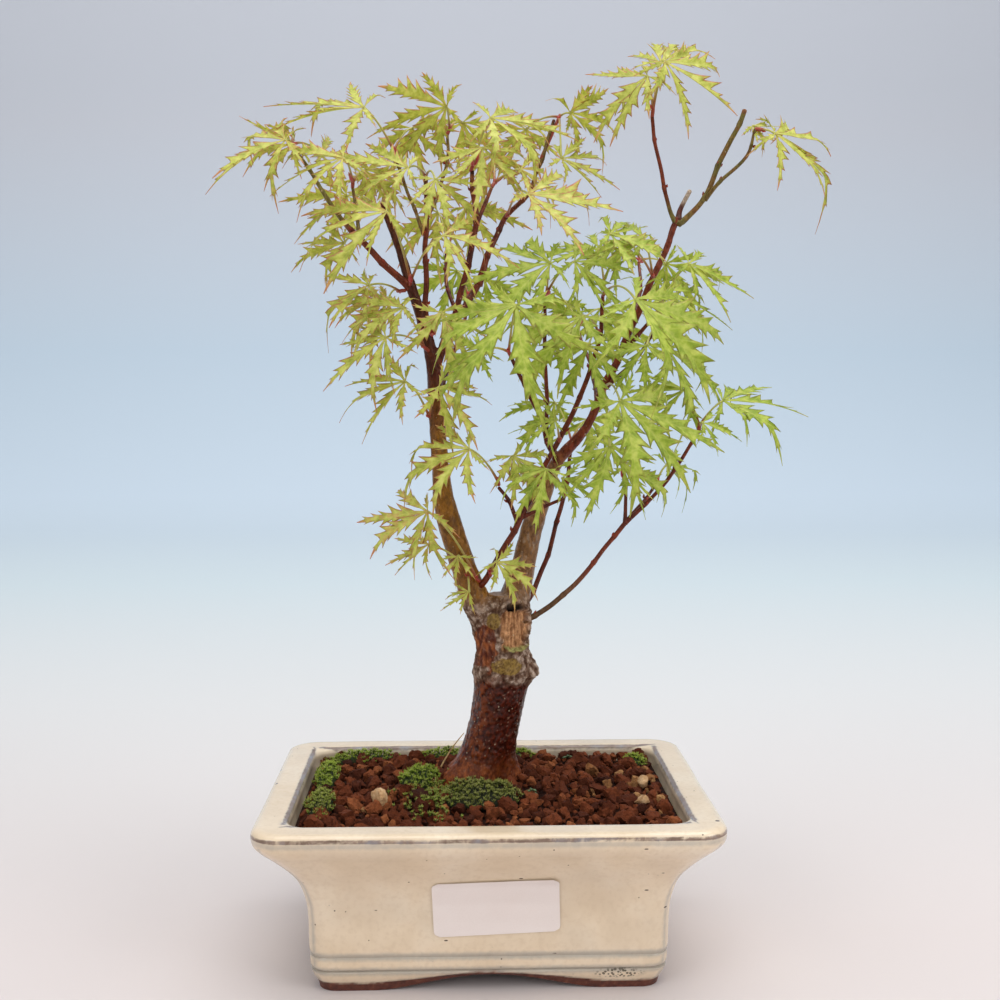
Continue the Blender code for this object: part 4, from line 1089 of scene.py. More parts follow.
def make_moss(name, clump, seed, material):
    """A cushion of thousands of tiny leaves over a lumpy base painted dark as shade."""
    chance = random.Random(70 + seed)
    mx, my, hx, hy, _ = clump
    fresh = MOSS_FRESH.get(name, 0.9)
    shape = Shape()
    count = 30
    rings = []
    for share in (1.0, 0.97, 0.86, 0.7, 0.5, 0.3, 0.12):
        ring = []
        for k in range(count):
            angle = math.tau * k / count
            x, y = mx + hx * share * math.cos(angle), my + hy * share * math.sin(angle)
            top = moss_top(x, y, clump, seed) or 0.0
            ring.append((x, y, loose_height(x, y) + max(0.0, top - 0.7) - (0.8 if share == 1.0 else 0.0)))
        rings.append(np.array(ring))
    # the base sits low on the tip scale, so it takes the painted shade
    shape.add(np.concatenate(rings), ring_faces(len(rings), count), (0.25, fresh, 0.0, 1.0))
    for i in range(-int(hx * 1.2 / MOSS_PITCH), int(hx * 1.2 / MOSS_PITCH) + 1):
        for j in range(-int(hy * 1.2 / MOSS_PITCH), int(hy * 1.2 / MOSS_PITCH) + 1):
            x = mx + (i + chance.uniform(-0.5, 0.5)) * MOSS_PITCH
            y = my + (j + chance.uniform(-0.5, 0.5)) * MOSS_PITCH
            top = moss_top(x, y, clump, seed)
            if top is not None:
                outward = Vector(((x - mx) / hx, (y - my) / hy, 1.3)).normalized()
                add_tuft(shape, Vector((x, y, loose_height(x, y) + top - 0.8)), outward, fresh, chance)
    if name == "front_of_trunk":
        for _ in range(LOOSE_TUFTS):
            x, y = chance.gauss(-21.0, 5.0), chance.gauss(-18.0, 9.0)
            if y > 4.0 - POT_DEPTH / 2 + 13.0:
                base = Vector((x, y, soil_height(x, y) + chance.uniform(0.2, 2.0)))
                add_tuft(shape, base, Vector((0.0, 0.0, 1.0)), 0.5, chance)
    make_piece("cushion_" + name, shape, [material], ["moss_" + name])


SPROUT_LEAF_RADII = [0.12, 0.3, 0.46, 0.52, 0.46, 0.28, 0.08]


def make_seedlings():
    """Two sprouts, each a short stem with a ring of narrow leaves."""
    material = seedling_material()
    for seed, (name, (x, y, size)) in enumerate(SEEDLINGS.items()):
        chance = random.Random(90 + seed)
        shape = Shape()
        base = Vector((x, y, soil_height(x, y) - 0.5))
        stem_top = base + Vector((0.2, 0.0, size * 0.9))
        add_tube(shape, [base, base.lerp(stem_top, 0.5), stem_top], [0.3, 0.26, 0.22], 6, PLAIN)
        for k in range(7):
            angle = math.tau * k / 7 + chance.uniform(-0.3, 0.3)
            rise = 0.2 + 0.25 * (k % 3)
            reach = size * chance.uniform(0.7, 1.0)
            start = base.lerp(stem_top, 0.35 + 0.09 * k)
            heading = Vector((math.cos(angle), math.sin(angle), rise))
            path = []
            for t in np.linspace(0, 1, len(SPROUT_LEAF_RADII)):
                path.append(start + heading * reach * t - Vector((0, 0, 0.25 * reach * t * t)))
            add_tube(shape, path, SPROUT_LEAF_RADII, 6, PLAIN)
        make_piece("sprout_" + name, shape, [material], ["seedling_" + name])


def make_dry_stalk():
    """A dry needle that stands in the moss."""
    shape = Shape()
    path = smooth_path(DRY_STALK, 0.6)
    radii = 0.36 - 0.2 * np.linspace(0, 1, len(path))
    radii += 0.05 * np.array([noise.noise(Vector(p) * 1.3) for p in path])
    add_tube(shape, path, radii, 8, PLAIN)
    make_piece("dry_needle", shape, [stalk_material()], ["dry_stalk"])


# ---- the wood


OLIVE = srgb(156, 106, 36)
RIGHT_OLIVE = srgb(150, 108, 66)
DARK_RED = srgb(98, 40, 24)
RED_BROWN = srgb(132, 58, 34)
TWIG_GREEN = srgb(136, 124, 62)
GREY_BARK = srgb(140, 114, 96)
WET_BARK = srgb(52, 17, 9)
FLARE = srgb(120, 58, 26)
OLD_WOOD = srgb(202, 152, 108)
WOUND = srgb(94, 40, 26)
OLIVE_PATCH = srgb(146, 118, 54)


def blend(a, b, share):
    """A colour between two others."""
    share = min(1.0, max(0.0, share))
    return tuple(p + (q - p) * share for p, q in zip(a, b))


def ease(value, low, high):
    """0 at low and 1 at high, smoothly between."""
    t = min(1.0, max(0.0, (value - low) / (high - low)))
    return t * t * (3.0 - 2.0 * t)


# Marks on the trunk's front: middle X and Z, and half sizes
SCAR = (10.4, 126.0, 5.8, 8.9)
SCAR_EDGE = (10.4, 126.0, 7.2, 10.4)
# the hollow is painted near black as shade in its depth
HOLLOW = (10.6, 135.0, 3.4, 1.6)
LIP = (11.0, 118.2, 4.6, 0.9)
OLD_WOUND = (-0.8, 119.0, 4.4, 8.5)
OLIVE_MARKS = ((7.4, 111.8, 5.6, 3.4), (2.4, 129.6, 2.8, 3.2))
WET_TOP = (102.0, 107.0)  # heights where dark wet bark gives way to grey bark
FLARE_TOP = (66.0, 78.0)  # heights where the root flare's colour fades


def patch(x, z, mark, wander):
    """1 inside a mark, 0 outside, with a wandering edge."""
    middle_x, middle_z, half_x, half_z = mark
    reach = math.hypot((x - middle_x) / half_x, (z - middle_z) / half_z)
    return 1.0 - ease(reach + 0.3 * wander, 0.93, 1.05)


def trunk_look(point, facing):
    """How far the bark stands out at a place on the trunk, its colour and its roughness."""
    x, y, z = point
    spot = Vector((x, y, z))
    large = noise.fractal(spot * 0.11, 1.0, 2.0, 3)
    ridges = noise.noise(Vector((x * 0.42, y * 0.42, z * 0.16)))
    plates = noise.fractal(Vector((x, y, z * 0.7)) * 0.55, 0.9, 2.1, 3)
    fine = noise.fractal(spot * 1.3, 0.9, 2.0, 2)
    lift = 0.75 * large + 0.5 * ridges + 0.42 * plates + 0.12 * fine
    colour = blend(GREY_BARK, srgb(84, 56, 40), 0.3 - 1.6 * plates)
    colour = blend(colour, srgb(184, 164, 148), ease(plates + 0.5 * fine, 0.12, 0.42))
    rough = 0.95
    wet = 1.0 - ease(z + 4.0 * large + 1.5 * ridges, *WET_TOP)
    pebbled = noise.fractal(spot * 0.75, 0.8, 2.2, 3)
    lift = lift * (1.0 - 0.6 * wet) + 0.2 * wet * pebbled
    lit_side = ease(0.2 * (z - 71.0) - x + 3.0 * large, -1.0, 9.0)
    wet_colour = blend(WET_BARK, srgb(88, 31, 17), 0.4 + 1.3 * pebbled)
    wet_colour = blend(wet_colour, srgb(146, 72, 28), 0.65 * lit_side * ease(plates, -0.3, 0.2))
    wet_colour = blend(wet_colour, srgb(150, 116, 96), 0.7 * ease(noise.noise(spot * 1.1), 0.5, 0.62))
    colour = blend(colour, wet_colour, wet)
    rough -= 0.66 * wet
    flare = 1.0 - ease(z + 3.0 * ridges, *FLARE_TOP)
    colour = blend(colour, blend(FLARE, srgb(158, 84, 36), 0.4 + 1.2 * plates), 0.8 * flare)
    rough += 0.3 * flare
    lift += 0.5 * bell(z, 107.2 + 0.8 * large, 1.1)
    lift += 1.6 * bell(x, 18.5, 4.0) * bell(y, 2.0, 6.0) * bell(z, 108.8, 4.2)  # a burl on the right
    if facing < 0.25 and y < 6.0:
        wander = noise.noise(Vector((x, z, 4.0)) * 0.3)
        bare = patch(x, z, SCAR, wander)
        edge = patch(x, z, SCAR_EDGE, wander) - bare
        fibres = noise.noise(Vector((x * 1.6, z * 0.14, 2.0)))
        split = noise.noise(Vector((x * 0.7, z * 0.5, 9.0)))
        colour = blend(colour, blend(OLD_WOOD, srgb(126, 78, 44), 0.3 - 1.3 * fibres - 0.5 * split), bare)
        lift = lift * (1.0 - 0.8 * bare) - 1.5 * bare + 0.5 * bare * fibres + 0.9 * edge
        # the hollow: a dent painted near black, painted shade in its depth
        hollow = patch(x, z, HOLLOW, wander)
        colour = blend(colour, srgb(26, 14, 9), hollow)
        lift -= 2.6 * hollow
        lip = patch(x, z - 0.07 * (x - LIP[0]) ** 2, LIP, 0.5 * wander)
        colour = blend(colour, srgb(166, 160, 100), lip)
        lift += 1.1 * lip
        wound = patch(x, z, OLD_WOUND, 1.6 * wander)
        flaky = noise.noise(Vector((x * 0.9, z * 0.28, 21.0)))
        colour = blend(colour, blend(WOUND, srgb(170, 96, 52), 0.35 + 1.5 * flaky), 0.85 * wound)
        lift -= 0.7 * wound
        olive = max(patch(x, z, mark, wander) for mark in OLIVE_MARKS)
        marks = ease(abs(noise.noise(Vector((x, z, 30.0)) * 0.7)), 0.02, 0.08)
        colour = blend(colour, blend(srgb(96, 66, 34), OLIVE_PATCH, marks), 0.92 * olive)
        lift *= 1.0 - 0.5 * olive
        rough -= 0.35 * olive
    return lift, colour, min(1.0, max(0.0, rough))


STEM_RADIUS = 1.9  # stems at least this thick are fused with the trunk
VOXEL = 0.5
BRANCH_SLIM = 0.72  # a branch's thickness as a share of its plain solid's
RIGHT_STEM_SLIM = 0.66
SLIM_FROM = 168.0  # the fused stems start to slim at this height
SLIM_OVER = 20.0
# The colour of each cut or dried end
STUBS = {
    "red_stem": srgb(60, 30, 22), "upright_stub": srgb(60, 44, 34), "top_stub": srgb(206, 186, 164),
    "top_right": srgb(150, 104, 72), "second_stem": srgb(96, 60, 44),
}
GREEN_BRANCHES = (
    "top_right", "top_right_twig", "upright_green", "upright_left", "left_arm_twig", "left_back_twig",
)


def stem_look(name, point, radius):
    """How far a stem's bark stands out, its colour and its roughness."""
    x, y, z = point
    spot = Vector((x, y, z))
    mottle = noise.fractal(Vector((x, y, z * 0.4)) * 0.5, 0.9, 2.0, 3)
    broad = noise.noise(spot * 0.07)
    if name == "left_stem":
        colour = blend(OLIVE, DARK_RED, ease(z + 9.0 * broad, 203.0, 224.0))
        colour = blend(colour, srgb(94, 50, 28), 0.5 * ease(-x + 4.0 * mottle, 18.0, 23.0))
    elif name == "right_stem":
        colour = blend(RIGHT_OLIVE, RED_BROWN, ease(z + 8.0 * broad, 182.0, 198.0))
        grey = ease(mottle, 0.2, 0.4) * (1.0 - ease(z, 160.0, 178.0))
        colour = blend(colour, srgb(156, 140, 124), 0.6 * grey)
    elif name == "low_branch":
        colour = blend(srgb(120, 88, 60), RED_BROWN, ease(z + 5.0 * broad, 136.0, 152.0))
    elif name == "left_arm":
        colour = blend(RED_BROWN, TWIG_GREEN, ease(-x + 3.0 * broad, 50.0, 57.0))
    elif name == "top_left":
        colour = blend(TWIG_GREEN, RED_BROWN, ease(z + 6.0 * broad, 284.0, 296.0))
    elif name in GREEN_BRANCHES:
        colour = blend(TWIG_GREEN, srgb(126, 84, 44), 0.35 + mottle)
    elif name == "top_stub":
        colour = blend(DARK_RED, srgb(196, 178, 160), ease(z, 288.0, 291.0))
    else:
        colour = blend(DARK_RED, RED_BROWN, 0.5 + broad)
        colour = blend(colour, TWIG_GREEN, 0.6 * ease(z, 285.0, 315.0))
    colour = blend(colour, tuple(0.6 * c for c in colour), 0.4 - mottle)
    lift = 0.16 * mottle + 0.12 * noise.noise(spot * 0.25) * radius / 3.0
    return lift, colour, 0.3 + 0.3 * max(0.0, mottle)


def trunk_rows():
    """The trunk's sections every millimetre or so."""
    return smooth_path([(x, y, z, half_x, half_y) for x, y, z, half_x, half_y in TRUNK], 0.9)


def thick_wood():
    """Trunk and stems as overlapping closed tubes. The trunk spreads into buttresses at its foot."""
    shape = Shape()
    sides = 72
    turn = np.linspace(0, math.tau, sides, endpoint=False)
    rings = []
    for x, y, z, half_x, half_y in trunk_rows():
        spread = 1.0 - ease(z, 60.0, 82.0)
        buttress = 1.0 + spread * 0.13 * (np.cos(3.0 * turn - 0.3) + 0.6 * np.cos(5.0 * turn + 1.0))
        round_it = [Vector((math.cos(a), math.sin(a), z * 0.06)) for a in turn]
        lumps = np.array([0.05 * noise.noise(spot * 1.7) for spot in round_it])
        reach = buttress + lumps + 0.22 * spread * np.clip(-np.cos(turn - 0.3), 0.0, 1.0) ** 2
        across, back = half_x * reach * np.cos(turn), half_y * reach * np.sin(turn)
        rings.append(np.stack([x + across, y + back, np.full(sides, z)], axis=1))
    shape.add(np.concatenate(rings), ring_faces(len(rings), sides), PLAIN)
    for name, points in BRANCHES.items():
        thick = [p for p in points if p[3] >= STEM_RADIUS]
        if len(thick) >= 2:
            rows = smooth_path(thick, 1.5)
            thinnest = RIGHT_STEM_SLIM if name == "right_stem" else BRANCH_SLIM
            slim = 1.0 - (1.0 - thinnest) * np.clip((rows[:, 2] - SLIM_FROM) / SLIM_OVER, 0.0, 1.0)
            add_tube(shape, rows[:, :3], rows[:, 3] * slim, 24, PLAIN)
    return shape


def fused(shape):
    """One skin round overlapping closed shapes, smoothed a little."""
    body = shape_object("wood", shape, MM)
    remesh = body.modifiers.new("fuse", "REMESH")
    remesh.mode = "VOXEL"
    remesh.voxel_size = VOXEL * MM
    soften = body.modifiers.new("soften", "SMOOTH")
    soften.factor = 0.5
    soften.iterations = 4
    made = result_mesh(body)
    bpy.data.objects.remove(body)
    return made


def nearest_stem(points):
    """For each point, the thick stem nearest to it, its radius there and how far away its line is."""
    names, starts, ends, radii = [], [], [], []
    for name, rows in BRANCHES.items():
        for first, second in zip(rows, rows[1:]):
            if second[3] >= STEM_RADIUS * 0.9:
                names.append(name)
                starts.append(first[:3])
                ends.append(second[:3])
                radii.append((first[3], second[3]))
    starts, ends, radii = np.array(starts, float), np.array(ends, float), np.array(radii)
    runs = ends - starts
    best = np.full(len(points), np.inf)
    which = np.zeros(len(points), int)
    thick = np.zeros(len(points))
    for i, (start, run) in enumerate(zip(starts, runs)):
        share = np.clip((points - start) @ run / run.dot(run), 0, 1)
        radius = radii[i][0] + share * (radii[i][1] - radii[i][0])
        away = np.linalg.norm(points - start - share[:, None] * run, axis=1) - radius
        nearer = away < best
        best[nearer], which[nearer], thick[nearer] = away[nearer], i, radius[nearer]
    return [names[i] for i in which], thick


def add_branch(shape, name, points):
    """A thin branch or twig: a collar where it leaves its parent, swollen nodes and a tip."""
    chance = random.Random(sum(map(ord, name)))
    rows = smooth_path(points, 0.9)
    steps = np.linalg.norm(np.diff(rows[:, :3], axis=0), axis=1)
    travelled = np.concatenate([[0.0], np.cumsum(steps)])
    radii = rows[:, 3].copy()
    radii *= BRANCH_SLIM * (1.0 + 0.4 * np.exp(-travelled / 2.6))
    wander = np.zeros((len(rows), 3))
    at = chance.uniform(9, 15)
    while at < travelled[-1] - 4:
        swell = np.exp(-(((travelled - at) / 0.8) ** 2))
        radii *= 1.0 + 0.22 * swell
        kink = np.array([chance.gauss(0, 1), chance.gauss(0, 1), 0.0]) * 0.35
        wander += np.outer(np.exp(-(((travelled - at) / 5.0) ** 2)), kink)
        add_node_buds(shape, rows, travelled, radii, at, chance)
        at += chance.uniform(11, 19)
    path = rows[:, :3] + wander
    paint = [(*stem_look(name, p, r)[1], 0.3) for p, r in zip(path, radii)]
    if name in STUBS:
        paint[-2:] = [(*STUBS[name], 0.9)] * 2
    add_tube(shape, path, radii, 12 if rows[0][3] > 1.4 else 10, paint)


def add_node_buds(shape, rows, travelled, radii, at, chance):
    """A pair of tiny pointed buds on either side of a node."""
    i = int(np.argmin(np.abs(travelled - at)))
    middle = Vector(rows[i, :3])
    along = Vector(rows[min(i + 1, len(rows) - 1), :3] - rows[max(i - 1, 0), :3]).normalized()
    side = along.orthogonal().normalized()
    side.rotate(Matrix.Rotation(chance.uniform(0, math.pi), 3, along))
    for way in (-1, 1):
        if chance.random() < 0.45:
            continue
        base = middle + side * way * radii[i] * 0.7
        tip = base + (side * way * 0.6 + along).normalized() * chance.uniform(1.1, 1.8)
        path = [base, base.lerp(tip, 0.35), base.lerp(tip, 0.7), tip]
        colour = blend(RED_BROWN, srgb(160, 62, 44), chance.random())
        add_tube(shape, path, [0.42, 0.5, 0.34, 0.08], 7, (*colour, 0.3))


def make_wood():
    """One piece: the fused trunk and stems with their bark, and the thin branches."""
    made = fused(thick_wood())
    points = mesh_points(made) / MM
    normals = np.zeros(len(points) * 3)
    made.vertices.foreach_get("normal", normals)
    normals = normals.reshape(-1, 3)
    names, radii = nearest_stem(points)
    paint = np.ones((len(points), 4))
    for i, (point, normal) in enumerate(zip(points, normals)):
        trunk = 1.0 - ease(point[2] + 2.5 * noise.noise(Vector(point) * 0.2), 134.0, 141.0)
        lift, colour, rough = stem_look(names[i], point, radii[i])
        if trunk > 0.0:
            trunk_lift, trunk_colour, trunk_rough = trunk_look(point, normal[1])
            lift += (trunk_lift - lift) * trunk
            colour = blend(colour, trunk_colour, trunk)
            rough += (trunk_rough - rough) * trunk
        points[i] = point + normal * lift
        paint[i] = (*(max(0.002, c) for c in colour), rough)
    shape = Shape()
    faces = [tuple(p.vertices) for p in made.polygons]
    shape.add(points, faces, paint)
    bpy.data.meshes.remove(made)
    for name, rows in BRANCHES.items():
        thin = [i for i, row in enumerate(rows) if row[3] < STEM_RADIUS]
        if thin:
            add_branch(shape, name, rows[max(0, thin[0] - 1) :])
    make_piece("maple_wood", shape, [bark_material()], ["tree_wood"])


# ---- leaves


LOBE_HALF_WIDTH = 0.152  # widest half width of a lobe, as a share of its length
BLADE_HALF_THICK = 0.11
SMALL_LEAF = 18.0  # a leaf shorter than this has five lobes in place of seven
YOUNG_STEM, BUD_SCALE = 1, 2  # places in a shoot's list of materials, after the leaf


def wood_distance(point):
    """How far a place is outside the nearest branch."""
    best = math.inf
    for points in BRANCHES.values():
        for first, second in zip(points, points[1:]):
            start, end = Vector(first[:3]), Vector(second[:3])
            run = end - start
            share = max(0.0, min(1.0, (point - start).dot(run) / run.length_squared))
            radius = first[3] + share * (second[3] - first[3])
            best = min(best, (point - (start + run * share)).length - radius)
    return best


def bud_place(growing_point, leaves):
    """Where a bud is clear of the wood, on the way from its growing point to its leaves."""
    start = Vector(growing_point)
    middle = sum((Vector(leaf[0]) for leaf in leaves), Vector()) / len(leaves)
    towards = (middle - start).normalized()
    place = start.copy()
    while wood_distance(place) < BUD_RADIUS + 2 * GAP:
        place += towards * 0.25
    return place


def blade_frame(hub, heading, droop):
    """Axes for a blade: along its middle lobe, across it and out of its face."""
    compass = math.radians(heading)
    along = Vector((math.cos(compass), math.sin(compass), 0.0))
    outward = -LEAN if hub[1] < FRONT_HALF else LEAN
    normal = along * math.tan(math.radians(droop)) + Vector((0.0, outward, 1.0))
    normal.normalize()
    along = (along - normal * along.dot(normal)).normalized()
    across = normal.cross(along)
    return Matrix.Translation(hub) @ Matrix((along, across, normal)).transposed().to_4x4()


def lobe_rows(chance, teeth):
    """Rows along a lobe: place along its rib, how far ahead its two edges are, and its half widths."""
    rows = [(0.0, 0.0, 0.0, 0.014, 0.014), (0.08, 0.0, 0.0, 0.02, 0.02), (0.16, 0.0, 0.0, 0.03, 0.03)]
    start, end = 0.19, 0.84
    pitch = (end - start) / teeth
    for k in range(teeth):
        t = start + pitch * k
        share = (k + 0.5) / teeth
        wide = LOBE_HALF_WIDTH * math.sin(math.pi * (0.24 + 0.7 * share)) ** 1.1
        left, right = wide * chance.uniform(0.6, 1.25), wide * chance.uniform(0.6, 1.25)
        ahead_left, ahead_right = pitch * chance.uniform(0.5, 0.95), pitch * chance.uniform(0.5, 0.95)
        notch = 0.27 + 0.1 * share
        rows.append((t, 0.0, 0.0, notch * left + 0.01, notch * right + 0.01))
        rows.append((t + 0.34 * pitch, 0.4 * ahead_left, 0.4 * ahead_right, 0.62 * left, 0.62 * right))
        rows.append((t + 0.6 * pitch, ahead_left, ahead_right, left, right))
        rows.append((t + 0.74 * pitch, 0.45 * ahead_left, 0.45 * ahead_right, 0.52 * left, 0.52 * right))
    rows += [(0.87, 0.0, 0.0, 0.02, 0.02), (0.93, 0.0, 0.0, 0.013, 0.013), (1.0, 0.0, 0.0, 0.004, 0.004)]
    return rows


def add_lobe(shape, place, angle, length, fall, thread, chance, warmth):
    """One lobe of a blade: a thin closed sliver with a raised rib, cut edges and a bent tip."""
    teeth = 3 if length < 12.0 else 4 if length < 24.0 else 5
    rows = lobe_rows(chance, teeth)
    bend = chance.uniform(-0.16, 0.16) + 0.1 * math.copysign(min(1.0, abs(angle) / 60.0), angle)
    fold = chance.uniform(0.1, 0.55)
    twist = chance.uniform(-0.9, 0.9)
    rise = chance.uniform(-0.1, 0.34)
    turn = math.radians(angle)
    points, paint = [], []
    for t, ahead_left, ahead_right, left, right in rows:
        for side in (-1.0, -0.5, 0.0, 0.5, 1.0):
            width = left if side < 0 else right
            ahead = ahead_left if side < 0 else ahead_right
            s = min(1.0, t + ahead * abs(side) ** 1.4)
            out = side * width * length
            hang = rise * s - fall * s**2 - thread * max(0.0, s - 0.6) ** 1.5 * 2.0
            x = length * s * (1.0 - 0.2 * thread * max(0.0, s - 0.6))
            y = length * bend * s * s + out * math.cos(twist * s)
            z = length * hang + abs(out) * fold + out * math.sin(twist * s)
            x, y = x * math.cos(turn) - y * math.sin(turn), x * math.sin(turn) + y * math.cos(turn)
            heights = (z,) if abs(side) == 1.0 else (z + BLADE_HALF_THICK, z - BLADE_HALF_THICK)
            for height in heights:
                points.append(place @ Vector((x, y, height)))
                paint.append((abs(side), t, warmth, 1.0))
    count = len(rows)
    faces = []
    for row in range(count - 1):
        low, high = row * 8, (row + 1) * 8
        top = (0, 1, 3, 5, 7)
        under = (0, 2, 4, 6, 7)
        for a, b in zip(top, top[1:]):
            faces.append((low + a, low + b, high + b, high + a))
        for a, b in zip(under, under[1:]):
            faces.append((low + b, low + a, high + a, high + b))
    for end in (0, (count - 1) * 8):
        loop = [end + i for i in (0, 1, 3, 5, 7, 6, 4, 2)]
        faces.append(tuple(loop if end else reversed(loop)))
    shape.add([p[:] for p in points], faces, paint)


def add_blade(shape, hub, heading, droop, span, warmth, chance):
    """A leaf's lobes, spread like fingers from the end of its stalk."""
    place = blade_frame(hub, heading, droop)
    lobes = [(-a, share) for a, share in zip(LOBE_ANGLES, LOBE_LENGTHS)][:0:-1]
    lobes += list(zip(LOBE_ANGLES, LOBE_LENGTHS))
    if span < SMALL_LEAF:
        lobes = lobes[1:-1]
    hang = chance.uniform(0.12, 0.3)
    for angle, share in lobes:
        thread = chance.choice((0.0, 0.0, 0.3, 0.8))
        add_lobe(
            shape, place, angle + chance.uniform(-8, 8), span * share * chance.uniform(0.94, 1.14),
            hang + chance.uniform(-0.08, 0.12), thread, chance, warmth + chance.uniform(-0.15, 0.15),
        )


def add_scale(shape, base, direction, length, width, chance):
    """A pointed bud scale that curves outwards."""
    along = direction.normalized()
    path = []
    bow = along.orthogonal().normalized()
    bow.rotate(Matrix.Rotation(chance.uniform(0, math.tau), 3, along))
    for t in np.linspace(0, 1, 6):
        path.append(base + along * length * t + bow * 0.12 * length * t * t)
    widths = np.array([0.45, 0.95, 1.0, 0.8, 0.45, 0.08]) * width / 2
    paint = [(t, 0.0, 0.0, 1.0) for t in np.linspace(0, 1, 6)]
    add_tube(shape, path, widths, 7, paint, kind=BUD_SCALE)


def make_shoot(name, growing_point, leaves, materials, warmth):
    """A shoot's short tip, its bud scales, leaf stalks and leaves."""
    chance = random.Random(sum(map(ord, name)) * 7 + len(name))
    shape = Shape()
    start = Vector(growing_point)
    bud = bud_place(growing_point, leaves)
    away = (bud - start).normalized()
    tip = bud + away * 1.0
    path = [start, start.lerp(tip, 0.5), tip]
    add_tube(shape, path, [0.7, 0.75, 0.6], 8, (0.9, 0, 0, 1), kind=YOUNG_STEM)
    bright = name in BRIGHT_SCALES
    stalks = [(Vector(leaf[0]) - bud).normalized() for leaf in leaves]
    for k in range(3 if bright else 2):
        along = stalks[k % len(stalks)]
        side = along.orthogonal().normalized()
        side.rotate(Matrix.Rotation(chance.uniform(0, math.tau), 3, along))
        length = chance.uniform(4.5, 6.5) if bright else chance.uniform(1.6, 2.6)
        add_scale(shape, bud + side * 0.45, along + side * 0.14, length, 1.5 if bright else 1.0, chance)
    for hub, heading, droop, span in leaves:
        end = Vector(hub)
        reach = (end - bud).length
        middle = bud.lerp(end, 0.5) + Vector((0.0, 0.0, 0.18 * reach))
        curve = []
        for t in np.linspace(0, 1, max(6, int(reach / 2.0))):
            a, b = bud.lerp(middle, t), middle.lerp(end, t)
            curve.append(a.lerp(b, t))
        shares = np.linspace(0, 1, len(curve))
        radii = 0.36 + 0.22 * (1 - shares) ** 4 + 0.12 * shares**6
        paint = [(0.75 * (1 - t) ** 2 + 0.1, 0.0, 0.0, 1.0) for t in shares]
        add_tube(shape, curve, radii, 8, paint, kind=YOUNG_STEM)
        add_blade(shape, hub, heading, droop, span, warmth, chance)
    make_piece("foliage_" + name, shape, materials, ["shoot_" + name])


# Shoots with long crimson bud scales
BRIGHT_SCALES = (
    "top_red", "left_front", "left_node", "top_mid", "right_up", "left_green", "mid_top", "fork_small",
)
# How far a shoot's leaves have reddened
WARM = {
    "top_mid": 0.8, "top_front": 0.75, "left_low": 0.75, "left_tip": 0.6, "left_node": 0.55,
    "left_mid": 0.5, "left_side": 0.55, "left_green": 0.5, "leader_front": 0.5, "left_front": 0.45,
    "top_right": 0.4, "leader_side": 0.35, "left_inner": 0.4, "top_cluster": 0.35, "top_stub": 0.35,
}
GREEN_SHOOTS = (
    "mid_", "leader_", "right_mid", "right_up", "right_twig", "right_tip", "back_", "twig_bud",
)


def make_leaves():
    """One piece for each shoot, in the yellow or the green leaf material."""
    pink = srgb(222, 156, 118)
    yellow = leaf_material(
        "leaf_yellow", srgb(176, 184, 74), srgb(204, 210, 98), srgb(230, 232, 142), pink, 0.75
    )
    green = leaf_material(
        "leaf_green", srgb(152, 176, 56), srgb(186, 204, 80), srgb(216, 224, 120), srgb(208, 184, 112), 0.3
    )
    young, bud = young_stem_material(), bud_material()
    for name, (growing_point, leaves) in SHOOTS.items():
        is_green = name.startswith(GREEN_SHOOTS)
        materials = [green if is_green else yellow, young, bud]
        warmth = WARM.get(name, 0.1 if is_green else 0.3)
        make_shoot(name, growing_point, leaves, materials, warmth)


# ---- the studio

BACKDROP_REACH = 4.0  # metres along the sheet, from below the object, to the last tint
BACKDROP_TINTS = [
    (0.0, srgb(214, 206, 205)), (0.1, srgb(214, 215, 216)), (0.24, srgb(209, 221, 226)),
    (0.45, srgb(208, 222, 234)), (0.62, srgb(196, 211, 224)), (0.8, srgb(204, 206, 213)),
]


def make_backdrop():
    """A floor that curves up into a wall far behind."""
    wide, near, far, tall, bend = 40.0, -40.0, 2.4, 4.0, 0.9
    line = [(near, 0.0), (-12.0, 0.0), (-4.0, 0.0)]
    line += [(y, 0.0) for y in np.linspace(-1.0, far - bend, 16)]
    for a in np.linspace(0.08, math.pi / 2, 20):
        line.append((far - bend + bend * math.sin(a), bend - bend * math.cos(a)))
    line += [(far, z) for z in np.linspace(1.1, tall, 8)]
    points = [(x, y, z) for y, z in line for x in (-wide, wide)]
    faces = [(2 * i, 2 * i + 1, 2 * i + 3, 2 * i + 2) for i in range(len(line) - 1)]
    mesh = bpy.data.meshes.new("backdrop")
    mesh.from_pydata(points, [], faces)
    mesh.materials.append(backdrop_material())
    shares = [max(0.0, (y + z) / BACKDROP_REACH) for y, z in line for _ in range(2)]
    paint_mesh(mesh, [(share, 0.0, 0.0, 1.0) for share in shares])
    add_object("backdrop", mesh)


def add_area(name, place, target, size, power, colour):
    """A softbox that faces its target."""
    light = bpy.data.lights.new(name, "AREA")
    light.shape = "RECTANGLE"
    light.size, light.size_y = size
    light.energy = power
    light.color = colour
    lamp = add_object(name, light)
    lamp.location = place
    lamp.rotation_euler = (Vector(target) - Vector(place)).to_track_quat("-Z", "Y").to_euler()


LAMP_TARGET = (0.0, 0.0, 0.17)
WARM_WHITE = (1.0, 0.975, 0.94)
COOL_WHITE = (0.98, 0.99, 1.0)
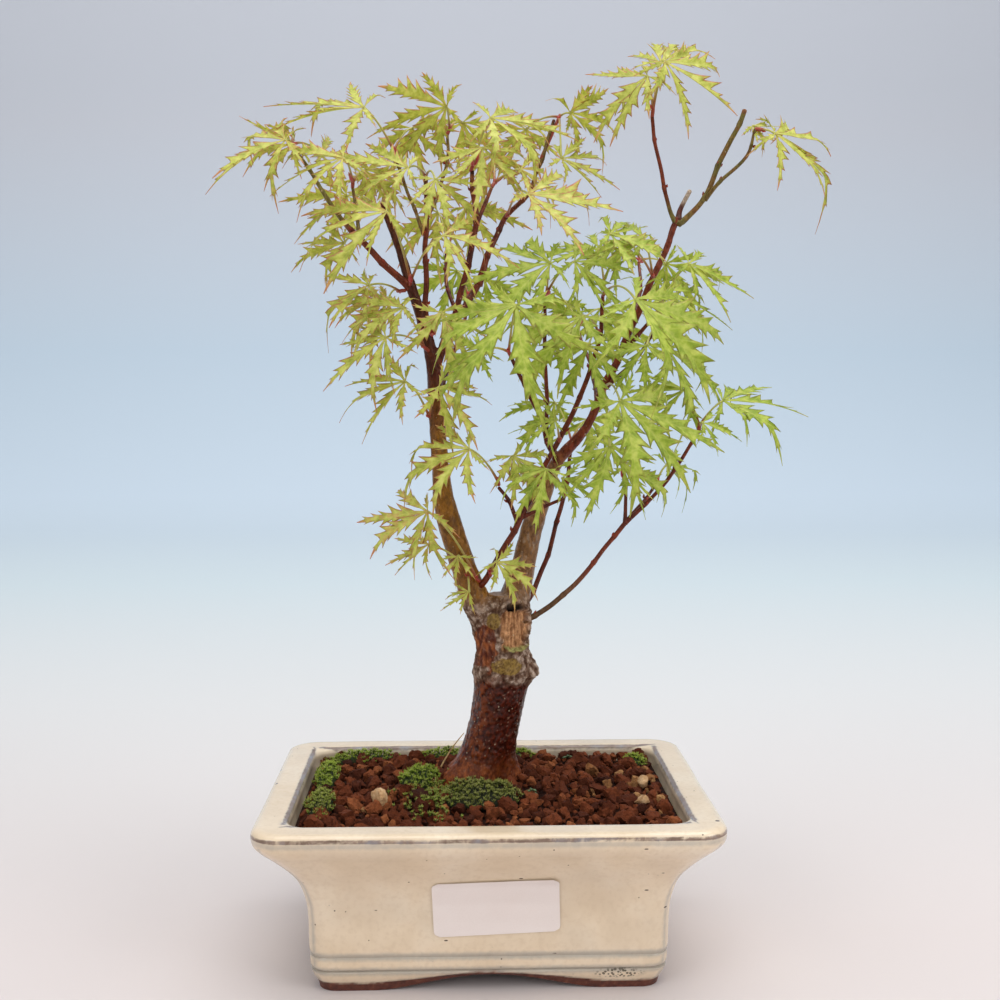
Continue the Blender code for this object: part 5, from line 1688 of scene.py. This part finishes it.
# Place, target, width and height in metres, watts and colour
SOFTBOXES = {
    "softbox_top": ((0.1, -0.25, 1.5), LAMP_TARGET, (1.4, 1.1), 13.0, WARM_WHITE),
    "softbox_left": ((-1.2, -1.1, 0.9), LAMP_TARGET, (0.9, 1.2), 6.5, WARM_WHITE),
    "softbox_wall": ((0.0, 0.9, 2.7), (0.0, 2.4, 0.7), (3.2, 0.9), 30.0, COOL_WHITE),
    "softbox_right": ((1.3, -0.9, 0.8), LAMP_TARGET, (0.9, 1.2), 9.0, WARM_WHITE),
}
SKY = (0.93, 0.96, 1.0, 1.0)
SKY_STRENGTH = 0.5


def make_studio():
    """The backdrop, even light from all round and four softboxes."""
    make_backdrop()
    world = bpy.data.worlds.new("studio")
    bpy.context.scene.world = world
    world.use_nodes = True
    background = world.node_tree.nodes["Background"]
    background.inputs["Color"].default_value = SKY
    background.inputs["Strength"].default_value = SKY_STRENGTH
    for name, settings in SOFTBOXES.items():
        add_area(name, *settings)
    bpy.context.scene.view_settings.view_transform = "Standard"


CAMERA_PLACE = (-10.5, -493.0, 216.5)
CAMERA_TILT_DOWN = 4.715  # degrees
CAMERA_TURN = -1.81  # degrees, to the right
CAMERA_LENS = 46.2
CAMERA_SENSOR = 36.0


def make_camera():
    """In front of the pot, level with the crown, and tilted down a little."""
    camera = bpy.data.cameras.new("camera")
    camera.sensor_width = CAMERA_SENSOR
    camera.lens = CAMERA_LENS
    holder = add_object("camera", camera)
    holder.location = to_world(CAMERA_PLACE)
    holder.rotation_euler = (math.radians(90.0 - CAMERA_TILT_DOWN), 0.0, math.radians(CAMERA_TURN))
    bpy.context.scene.camera = holder


def main():
    make_camera()
    make_studio()
    make_pot()
    make_label()
    plastic = plastic_material()
    for node in ("drain_mesh_left", "drain_mesh_right"):
        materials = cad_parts[node].data.materials
        materials.clear()
        materials.append(plastic)
    make_soil()
    make_stones()
    moss = moss_material()
    for seed, (name, clump) in enumerate(MOSS.items()):
        make_moss(name, clump, seed, moss)
    make_seedlings()
    make_dry_stalk()
    make_wood()
    make_leaves()


main()
